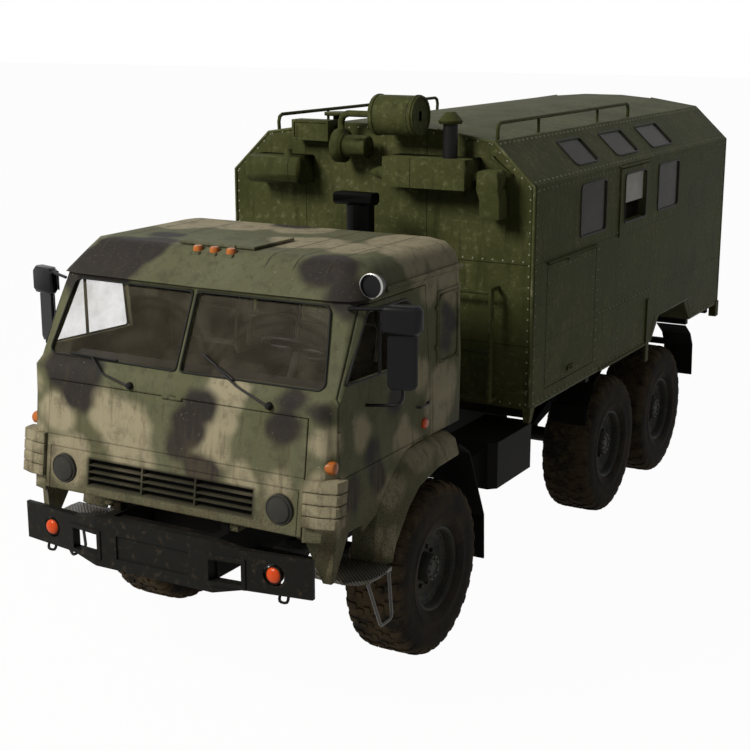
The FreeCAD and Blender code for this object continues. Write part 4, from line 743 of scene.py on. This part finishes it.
grip_line = [(DOOR_SKIN, -2.435, HANDLE_Z), (1.172, -2.425, HANDLE_Z), (1.172, -2.305, HANDLE_Z),
             (DOOR_SKIN, -2.295, HANDLE_Z)]
button = lathed("x", (DOOR_SKIN, -2.265, HANDLE_Z), [(0.012, 0), (0.012, 0.008), (0, 0.01)], 16)
on_doors("door_handle", joined([bead(rounded(grip_line, 0.012), 0.008), button]),
         moulded("black handle enamel", "1b1a18", 0.4), "mirror_black")
on_doors("side_marker", lathed("x", MARKER_AT, [(0.034, 0), (0.034, 0.012), (0.026, 0.022), (0, 0.026)]),
         orange_lens, "lamp_amber")
straps = joined([block((1.144, -2.196, z), (1.158, -2.158, z + 0.03)) for z in STRAP_FEET])
fitted("quarter_straps", both(straps), camouflage, "cab", "cab_paint")

# A rain gutter, rolled from steel strip and welded on, runs back along the roof over each door. It was
# sprayed with the cab.

gutter = bead([(1.158, -2.85, 2.604), (1.16, -2.82, 2.612), (1.16, -1.86, 2.612), (1.156, -1.84, 2.604)],
              0.0135)
fitted("roof_gutters", both(gutter), camouflage, "cab", "cab_paint")

# Lamps on the cab: three amber marker lamps on the roof's front, an amber dome on each front corner, and a
# black spot lamp with a bright rim over the left pillar. Blackout covers hide both headlamps.

ROOF_LAMPS = (-0.13, -0.003, 0.124)
CORNER_LAMP_AT = (1.13, -3.455, 1.646)
SPOT_AT = (1.167, -3.05, 2.663)
HEADLAMP_AT = (0.827, -3.559, 1.37)


def bright_metal(name, dark, pale, size, detail, rough):
    """Bright metal: clear reflections, a little uneven in colour from handling and weather."""
    made, tree, shader, coords = material(name)
    surface(tree, shader, coats(tree, dark, (pale, grain(tree, coords, size, detail))), rough, 0.5)
    shader.inputs["Metallic"].default_value = 1.0
    return made


chrome = bright_metal("scuffed chrome plate", "8d8c88", "b9b8b3", 0.03, 4, 0.22)
amber_lens = moulded("moulded amber lens", "b8682a", 0.3, 0.01, 0.12)
roof_lenses = [lathed("z", (x, -2.995, 2.756), [(0.032, 0), (0.032, 0.026), (0.026, 0.04), (0, 0.045)],
                      24) for x in ROOF_LAMPS]
roof_feet = [block((x - 0.04, -3.04, 2.73), (x + 0.04, -2.95, 2.762), 0.006) for x in ROOF_LAMPS]
corner_lens = lathed("x", CORNER_LAMP_AT, [(0.04, -0.03), (0.04, 0.012), (0.034, 0.022), (0.02, 0.028),
                                           (0, 0.03)], 28)
fitted("cab_lenses", joined(roof_lenses + [both(corner_lens)]), amber_lens, "cab", "lamp_amber", "cab_lamps")
fitted("roof_lamp_feet", joined(roof_feet), camouflage, "cab", "cab_paint")
spot = lathed("y", SPOT_AT, [(0, 0.09), (0.035, 0.085), (0.06, 0.06), (0.072, 0.02), (0.074, -0.005),
                             (0.074, -0.02), (0.066, -0.02), (0.064, -0.008), (0, -0.012)], 40)
spot_foot = bead([(1.131, -3.0, 2.575), (1.145, -3.0, 2.61), (1.16, -3.0, 2.625)], 0.012)
fitted("spot_lamp", joined([spot, spot_foot]), moulded("black lamp shell", "111112", 0.35), "cab",
       "mirror_black")
rim = lathed("y", SPOT_AT, [(0.0735, -0.006), (0.077, -0.008), (0.077, -0.022), (0.071, -0.024),
                            (0.069, -0.02)], 40, ring=True)
fitted("spot_lamp_rim", rim, chrome, "cab", "mirror_black")
paint(moulded("moulded red lens", "7a1c14", 0.3), "tail_lamps")
cover = lathed("y", HEADLAMP_AT, [
    (0, 0.05), (0.094, 0.05), (0.095, -0.012), (0.089, -0.018), (0.083, -0.014), (0.08, -0.014),
    (0.074, -0.024), (0.05, -0.031), (0, -0.034)], 48)
cover_paint = dusty_enamel("black headlamp cover", "383734", "5a5344", 0.35, 0.5, 0.06)
fitted("headlamp_covers", both(cover), cover_paint, "front_lid", "headlamp_cover", "headlamps")

# Fine black steel gauze closes the grille from behind against stones and leaves. It is a flat woven sheet,
# tacked to the back of the lid, and leans with it.

GAUZE_AT = (0, -3.5335, 1.277)
GAUZE_LEAN = math.radians(-8.04)
GAUZE_HALF = 0.655
GAUZE_HIGH = 0.2


def steel_gauze():
    """Black gauze: the wires are too fine to show, so they are drawn as coarser dark bands."""
    made, tree, shader, coords = material("fine black steel gauze")
    weave = add(tree, "ShaderNodeTexWave", {"Vector": coords, "Scale": 60.0}, bands_direction="X")
    surface(tree, shader, coats(tree, "050504", ("121110", weave.outputs["Fac"])), 0.7, 0.05)
    return made


sheet = block((-GAUZE_HALF, 0, 0), (GAUZE_HALF, 0.003, GAUZE_HIGH), 0.001)
sheet.transform(Matrix.Translation(GAUZE_AT) @ Matrix.Rotation(GAUZE_LEAN, 4, "X"))
fitted("grille_gauze", sheet, steel_gauze(), "front_lid", "mirror_black")

# Each door carries two mirrors on one bent tube: a wide one in a deep round shell over a tall one. Their
# silvered glass faces back, and black rubber grips hold the tube.

MIRROR_AT = (1.373, -3.043, 0)
MIRROR_TURN = math.radians(24.5)


def mirror_glass(wide, low, high, back):
    """A silvered pane with rounded corners that faces back along the truck, turned like its shell."""
    pane = block((-wide / 2, -0.002, low), (wide / 2, 0.003, high), 0.002)
    pane.transform(Matrix.Translation(MIRROR_AT) @ Matrix.Rotation(MIRROR_TURN, 4, "Z")
                   @ Matrix.Translation((0, back, 0)))
    return pane


mirror_shell = moulded("black mirror shell", "0b0b0c", 0.35)
for side in ("left", "right"):
    softened(f"{side}_mirror", mirror_shell, f"{side}_door", "mirror_black", 50)
panes = joined([mirror_glass(0.19, 2.41, 2.54, 0.052), mirror_glass(0.12, 2.08, 2.38, 0.031)])
silver = bright_metal("silvered mirror glass", "9aa0a2", "b4babb", 0.05, 3, 0.05)
on_doors("mirror_glass", panes, silver, "glass")

# The windscreen and door panes are clear safety glass under road dust. The wipers have swept arcs through
# it in front, where the dust is thinner. The van's panes get a nearly opaque dark veil, which is painted
# shade.

WIPER_REACH = 0.56


def glass_with_dust_and_painted_shade(name, thin, thick, dust, swept=False):
    """Clear glass that lets light through under a veil from thin to thick: dust, and painted shade where it
    is nearly opaque.
    """
    made, tree, shader, coords = material(name)
    cloud = where(tree, (grain(tree, coords, 0.25, 5, 0.65), 0.3, 0.75))
    if swept:
        for pivot in WIPER_PIVOTS:
            away = add(tree, "ShaderNodeVectorMath", {0: coords, 1: pivot}, operation="DISTANCE")
            away = away.outputs["Value"]
            rings = add(tree, "ShaderNodeTexNoise", {"W": away, "Scale": 14.0, "Detail": 2.0},
                        noise_dimensions="1D")
            arcs = add(tree, "ShaderNodeMapRange", {0: rings, 1: 0.3, 2: 0.8, 3: 0.3, 4: 0.75},
                       interpolation_type="SMOOTHSTEP")
            beyond = where(tree, (away, WIPER_REACH, WIPER_REACH + 0.04))
            kept = add(tree, "ShaderNodeMath", {0: beyond, 1: arcs}, operation="MAXIMUM")
            cloud = where(tree, cloud, kept)
    veil = add(tree, "ShaderNodeMapRange", {0: cloud, 3: thin, 4: thick})
    tree.links.new(veil.outputs[0], shader.inputs["Alpha"])
    shader.inputs["Base Color"].default_value = linear(dust)
    shader.inputs["Roughness"].default_value = 0.25
    shader.inputs["Specular IOR Level"].default_value = 0.03
    return made


paint(glass_with_dust_and_painted_shade("laminated windscreen glass", 0.05, 0.16, "7c7564", True), "cab_glass")
paint(glass_with_dust_and_painted_shade("toughened door glass", 0.05, 0.18, "6e6553"), "left_door_glass", "right_door_glass")

# The van body is riveted sheet steel over a frame, in one dull olive enamel that is scuffed pale in patches,
# dark along its sheet seams and darker where rain has run down. Doors, rails and fittings match it.

OLIVE = "4a4c2d"
OLIVE_DARK = "3a3d21"
OLIVE_PALE = "8a8c66"
OLIVE_STAIN = "1d1e0e"
VAN_DUST = "54492f"
VAN_CRACK = "15160a"
CRACK_HALF = 0.0035
SHEET_SEAMS = (1.88, 2.474)
SIDE_SEAMS = (0.345, 0.83, 1.6, 2.9)
FRONT_SEAMS = (-0.62, 0.42)
VAN_SIDE = 1.278
VAN_FRONT = -0.928
VAN_REAR = 3.708
SIDE_ROWS = (
    (-0.885, 1.45, -0.885, 3.0), (3.665, 1.45, 3.665, 3.0), (-0.86, 3.005, 3.64, 3.005),
    (0.42, 1.895, 3.62, 1.895), (0.36, 2.5, 3.62, 2.5), (0.33, 1.45, 0.33, 2.5), (0.36, 1.45, 0.36, 2.5),
    (0.845, 1.52, 0.845, 2.46), (-0.86, 1.445, 1.5, 1.445), (2.88, 1.445, 3.62, 1.445),
    (2.915, 1.5, 2.915, 2.95))
END_ROWS = ((0.974, 1.45, 0.974, 3.02), (0.966, 3.035, 0.735, 3.318), (0.72, 3.325, 0.43, 3.375),
            (0.43, 3.375, 0, 3.405))
HATCH_EDGES = (-0.63, 0.26)
HATCH_LEVELS = (1.56, 2.4)
REAR_DOOR_EDGES = (-0.38, 0.38)
REAR_DOOR_LEVELS = (1.57, 2.92)


def olive_enamel():
    """Dull olive enamel on beaten sheet: mottled, with pale scuffs, dark rain streaks and small dents."""
    made, tree, shader, coords = material("dull olive van enamel")
    x, y, z = add(tree, "ShaderNodeSeparateXYZ", {0: coords}).outputs
    wide = add(tree, "ShaderNodeMath", {0: x}, operation="ABSOLUTE")
    cloud = grain(tree, coords, 0.5, 5, 0.6)
    fine = grain(tree, coords, 0.045, 6, 0.75)
    streak = grain(tree, coords, 0.07, 4, 0.6, (1, 1, 8))
    cracks = seams(tree, (y, SIDE_SEAMS, CRACK_HALF, (wide, 1.27, 1.275)),
                   (x, FRONT_SEAMS, CRACK_HALF, (y, -0.92, -0.925)), (z, SHEET_SEAMS, CRACK_HALF))
    colour = coats(
        tree, OLIVE_DARK, (OLIVE, (cloud, 0.35, 0.7)),
        (OLIVE_PALE, 0.5, (fine, 0.5, 0.75), (cloud, 0.35, 0.6)),
        (OLIVE_STAIN, 0.5, (streak, 0.5, 0.75)),
        (VAN_DUST, 0.45, (z, 1.75, 1.35), (fine, 0.4, 0.65)),
        (VAN_CRACK, 0.75, cracks))
    surface(tree, shader, colour, 0.6, 0.05, grain(tree, coords, 0.04, 6, 0.65), 0.006, 0.9, (0.01, 3))
    return made


def rivet_tree():
    """Sets domes a spacing apart along the edges of a mesh."""
    tree, given = repeating("rivets along seams", ("Spacing", "Float"), ("Radius", "Float"))
    lines = add(tree, "GeometryNodeMeshToCurve", {0: given["Geometry"]})
    places = add(tree, "GeometryNodeResampleCurve", {"Curve": lines, "Length": given["Spacing"]},
                 mode="LENGTH")
    dome = add(tree, "GeometryNodeMeshUVSphere", {"Segments": 8, "Rings": 5, "Radius": given["Radius"]})
    set_out(tree, given, {"Points": places, "Instance": dome})
    return tree


along_seams = rivet_tree()
# The rivet heads are painted pale: painted highlights, standing for their domes catching the light.
rivet_highlight_paint = moulded("rivet heads paled as painted highlights", "8f907a", 0.5)


def riveted(name, lines, spacing, radius, body):
    """Rows of domed rivets along straight lines."""
    places = [point for line in lines for point in line]
    mesh = bpy.data.meshes.new(name)
    mesh.from_pydata(places, [(index, index + 1) for index in range(0, len(places), 2)], [])
    rows = grown(mesh, along_seams, {"Spacing": spacing, "Radius": radius, "Finish": rivet_highlight_paint})
    fitted(name, smooth(rows, 80), rivet_highlight_paint, body, "van_paint")


olive = olive_enamel()
paint(olive, "van_shell", "van_door", "side_hatch")
softened("van_rails", olive, "chassis", "van_paint", 50)
softened("van_equipment", olive, "chassis", "equipment_paint", 35)

rows = []
for sign in (-1, 1):
    x = sign * VAN_SIDE
    rows += [((x, a, b), (x, c, d)) for a, b, c, d in SIDE_ROWS]
    for share in (0.07, 0.93):
        slope_x, slope_z = sign * (1.2775 - 0.32 * share), 3.038 + 0.3 * share
        rows.append(((slope_x, -0.88, slope_z), (slope_x, 3.66, slope_z)))
    for y in (VAN_FRONT, VAN_REAR):
        rows += [((x * a, y, b), (x * c, y, d)) for a, b, c, d in END_ROWS]
rows += [((-1.2, y, z), (1.2, y, z)) for y in (VAN_FRONT, VAN_REAR) for z in (2.495, 1.445)]
riveted("van_rivets", rows, 0.078, 0.0085, "chassis")
riveted("hatch_rivets", [tuple((VAN_SIDE, y, z) for z in HATCH_LEVELS) for y in HATCH_EDGES]
        + [tuple((VAN_SIDE, y, z) for y in HATCH_EDGES) for z in HATCH_LEVELS], 0.09, 0.007, "side_hatch")
riveted("rear_door_rivets", [tuple((x, VAN_REAR, z) for z in REAR_DOOR_LEVELS) for x in REAR_DOOR_EDGES]
        + [tuple((x, VAN_REAR, z) for x in REAR_DOOR_EDGES) for z in REAR_DOOR_LEVELS], 0.09, 0.007,
        "van_door")

# Rolled steel mouldings are welded over the van's corners and along the lower edge of its sides, where the
# lower one rises over the wheels. They are scuffed paler than its sheet.

SILL_Z = 1.424
ARCH_Z = 1.62
moulding_lines = [([(1.272, y, 1.43), (1.272, y, 3.036), (0.957, y, 3.332), (0.5, y, 3.402)], 0.012)
                  for y in (VAN_FRONT, VAN_REAR)]
moulding_lines += [([(1.275, low, SILL_Z), (1.275, high, SILL_Z)], 0.011)
                   for low, high in ((VAN_FRONT, 1.69), (2.84, VAN_REAR))]
moulding_lines.append(([(1.275, 1.69, SILL_Z), (1.275, 1.8, ARCH_Z), (1.275, 2.73, ARCH_Z),
                        (1.275, 2.84, SILL_Z)], 0.009))
fitted("van_mouldings", both(joined([bead(line, radius) for line, radius in moulding_lines])),
       dusty_enamel("scuffed olive moulding", "4d5032", "7c7d60", 0.5, 0.5, 0.1), "chassis", "van_paint")

# Each side of the van has three windows and three skylights, whose panes sit in black rubber beads with
# rounded corners. The middle window is wiped clean, and a white cloth blind hangs behind its upper part.
# The other panes are nearly opaque and dark brown: painted shade of the van's inside, over a little dust.

PANE_SET_BACK = 0.006
PANE_THICK = 0.005
PANE_BEND = 0.045
WINDOWS = ((-0.05, 0.47, 1.281), (0.88, 1.37, 1.293), (1.735, 2.265, 1.281))
WIPED = 1
SKYLIGHTS = ((0.01, 0.46), (0.88, 1.37), (1.73, 2.26))


def opening(low, high, *levels):
    """The corners of an opening between two places along the van, given the (x, z) of its sill and head."""
    (sill_x, sill_z), (head_x, head_z) = levels
    return [(sill_x, low - 0.008, sill_z), (sill_x, high + 0.008, sill_z), (head_x, high + 0.008, head_z),
            (head_x, low - 0.008, head_z)]


def pane_in(line, out):
    """A pane with rounded corners, set back a little from its bead."""
    pane = bmesh.new()
    out = Vector(out)
    outer = [pane.verts.new(point - out * PANE_SET_BACK) for point in rounded(line, PANE_BEND, 5, True)]
    inner = [pane.verts.new(vertex.co - out * PANE_THICK) for vertex in outer]
    pane.faces.new(outer)
    pane.faces.new(inner[::-1])
    for index, vertex in enumerate(outer):
        beside = (index + 1) % len(outer)
        pane.faces.new((vertex, inner[index], inner[beside], outer[beside]))
    bmesh.ops.recalc_face_normals(pane, faces=pane.faces)
    return shaped(pane)


openings = [(opening(low, high, (x, 2.562), (x, 2.958)), (1, 0, 0)) for low, high, x in WINDOWS]
openings += [(opening(low, high, (1.2155, 3.1025), (1.0345, 3.2725)), (0.684, 0, 0.73))
             for low, high in SKYLIGHTS]
panes = [pane_in(line, out) for line, out in openings]
wiped_pane = panes.pop(WIPED)
# These panes are nearly opaque and dark brown: painted shade of the van's inside, with a little dust.
fitted("van_panes", both(joined(panes)), glass_with_dust_and_painted_shade("dark van glass in painted shade", 0.88, 1.0, "2d2821"), "chassis",
       "glass", "van_windows")
fitted("van_middle_panes", both(wiped_pane), glass_with_dust_and_painted_shade("wiped van glass", 0.02, 0.1, "51493c"), "chassis",
       "glass")
blind = block((1.262, 0.872, 2.715), (1.266, 1.378, 2.962), 0.001)
fitted("window_blinds", both(blind), moulded("white blind cloth", "f2f1ec", 0.8), "chassis", "van_paint")
fitted("van_seals", both(joined([hoop(line, PANE_BEND, 0.008) for line, _ in openings])), seal, "chassis",
       "dash_plastic")

# The van's fittings: a blower drum rolled from sheet, with two flanged rings, and a sooty sleeve round the
# heater's chimney on the front wall; a latch on the side hatch and a pull on the rear door.

DRUM_AT = (0.108, -1.12, 3.511)
CHIMNEY_AT = (0.682, -1.08, 3.222)


def pull(base_low, base_high, line, bend, radius):
    """A bent bar on a small steel base."""
    return joined([block(base_low, base_high), bead(rounded(line, bend), radius)])


drum = lathed("x", DRUM_AT, [(0, 0), (0.14, 0), (0.143, 0.004), (0.143, 0.013), (0.149, 0.014),
                             (0.149, 0.032), (0.143, 0.033), (0.143, 0.327), (0.149, 0.328), (0.149, 0.346),
                             (0.143, 0.347), (0.143, 0.362), (0.13, 0.363), (0.126, 0.352), (0, 0.352)], 48)
fitted("blower_drum", drum, olive, "chassis", "equipment_paint")
sleeve = lathed("z", CHIMNEY_AT, [(0, 0), (0.053, 0), (0.053, 0.235), (0, 0.235)])
fitted("chimney_sleeve", sleeve, moulded("sooty black stove enamel", "0d0d0b", 0.6), "chassis",
       "equipment_paint")
latch = pull((1.278, -0.24, 1.56), (1.292, -0.13, 1.6), [
    (x, y, 1.58) for x, y in ((1.288, -0.21), (1.302, -0.21), (1.302, -0.16), (1.288, -0.16))], 0.01, 0.006)
fitted("hatch_latch", latch, olive, "side_hatch", "van_paint")
door_pull = pull((0.31, 3.708, 2.1), (0.36, 3.72, 2.32), [
    (0.335, y, z) for y, z in ((3.715, 2.16), (3.733, 2.16), (3.733, 2.27), (3.715, 2.27))], 0.012, 0.007)
fitted("rear_door_pull", door_pull, olive, "van_door", "van_paint")

# Inside the cab are a moulded dashboard, a steering wheel and three seats in dark artificial leather. Each
# seat has a crowned cushion and back, blown up like cloth over foam, with pale piping round the edges.

SEAT_MIDDLES = (0.55, -0.08, -0.58)
SEAT_FLOOR = 1.58
SEAT_TOP = SEAT_FLOOR + 0.39
SEAT_Y = -2.42
BACK_LEAN = math.radians(-11.9)
PAD_SWELL = 0.022
PAD_VOXEL = 0.016
PAD_PRESSURE = 4
PAD_STEPS = 20


def leather():
    """Artificial leather: a fine pebbled grain, dusty and rubbed dull."""
    made, tree, shader, coords = material("dark artificial leather")
    pebbles = add(tree, "ShaderNodeTexVoronoi", {"Vector": coords, "Scale": 320.0})
    colour = coats(tree, "1d1814", ("2f281f", (grain(tree, coords, 0.15, 4), 0.35, 0.7)))
    surface(tree, shader, colour, 0.7, 0.05, pebbles, 0.0006, 0.5)
    return made


def pad(low, high):
    """A foam cushion: a rounded block blown up like cloth, with its swelling capped."""
    inner_low = [value + PAD_SWELL * 0.55 for value in low]
    inner_high = [value - PAD_SWELL * 0.55 for value in high]
    carrier = carried(block(inner_low, inner_high, min(b - a for a, b in zip(low, high)) * 0.3))
    remesh = carrier.modifiers.new("remesh", "REMESH")
    remesh.mode = "VOXEL"
    remesh.voxel_size = PAD_VOXEL
    even = made_plain(carrier)
    before = [vertex.co.copy() for vertex in even.vertices]
    carrier = carried(even)
    cloth = carrier.modifiers.new("cloth", "CLOTH")
    cloth.settings.use_pressure = True
    cloth.settings.uniform_pressure_force = PAD_PRESSURE
    cloth.settings.effector_weights.gravity = 0
    for number in range(1, PAD_STEPS + 1):
        scene.frame_set(number)
    blown = made_plain(carrier)
    scene.frame_set(1)
    for vertex, origin in zip(blown.vertices, before):
        moved = vertex.co - origin
        if moved.length > PAD_SWELL:
            vertex.co = origin + moved.normalized() * PAD_SWELL
        vertex.co = [min(max(value, a), b) for value, a, b in zip(vertex.co, low, high)]
    return smooth(blown, 60)


seat_leather = leather()
bases = []
piping = []
for number, x in enumerate(SEAT_MIDDLES):
    bases.append(block((x - 0.18, SEAT_Y - 0.2, SEAT_FLOOR), (x + 0.18, SEAT_Y + 0.2, SEAT_FLOOR + 0.265),
                       0.01))
    cushion = pad((x - 0.24, SEAT_Y - 0.26, SEAT_TOP - 0.13), (x + 0.24, SEAT_Y + 0.25, SEAT_TOP))
    cushion = fitted(f"seat_cushion_{number + 1}", cushion, seat_leather, "cab", "seat_vinyl")
    lean = Matrix.Translation((x, SEAT_Y + 0.155, SEAT_TOP)) @ Matrix.Rotation(BACK_LEAN, 4, "X")
    back = pad((-0.23, 0, 0), (0.23, 0.09, 0.565))
    back.transform(lean)
    back = fitted(f"seat_back_{number + 1}", back, seat_leather, "cab", "seat_vinyl")
    for top, half in ((0.54, 0.2), (0.26, 0.185)):
        welt = bead(rounded([(-half, -0.003, 0.02), (-half, -0.003, top), (half, -0.003, top),
                             (half, -0.003, 0.02)], 0.05), 0.005)
        welt.transform(lean)
        piping.append(welt)
fitted("seat_bases", joined(bases), chassis_enamel, "cab", "seat_vinyl", "cab_seats")
fitted("seat_piping", joined(piping), moulded("pale seat piping", "b0a896", 0.6), "cab", "seat_vinyl")
softened("dashboard", moulded("moulded dashboard", "262320", 0.6), "cab", "dash_plastic", 30)
softened("steering_wheel", moulded("moulded steering wheel", "151414", 0.45), "steering_wheel",
         "dash_plastic", 50)
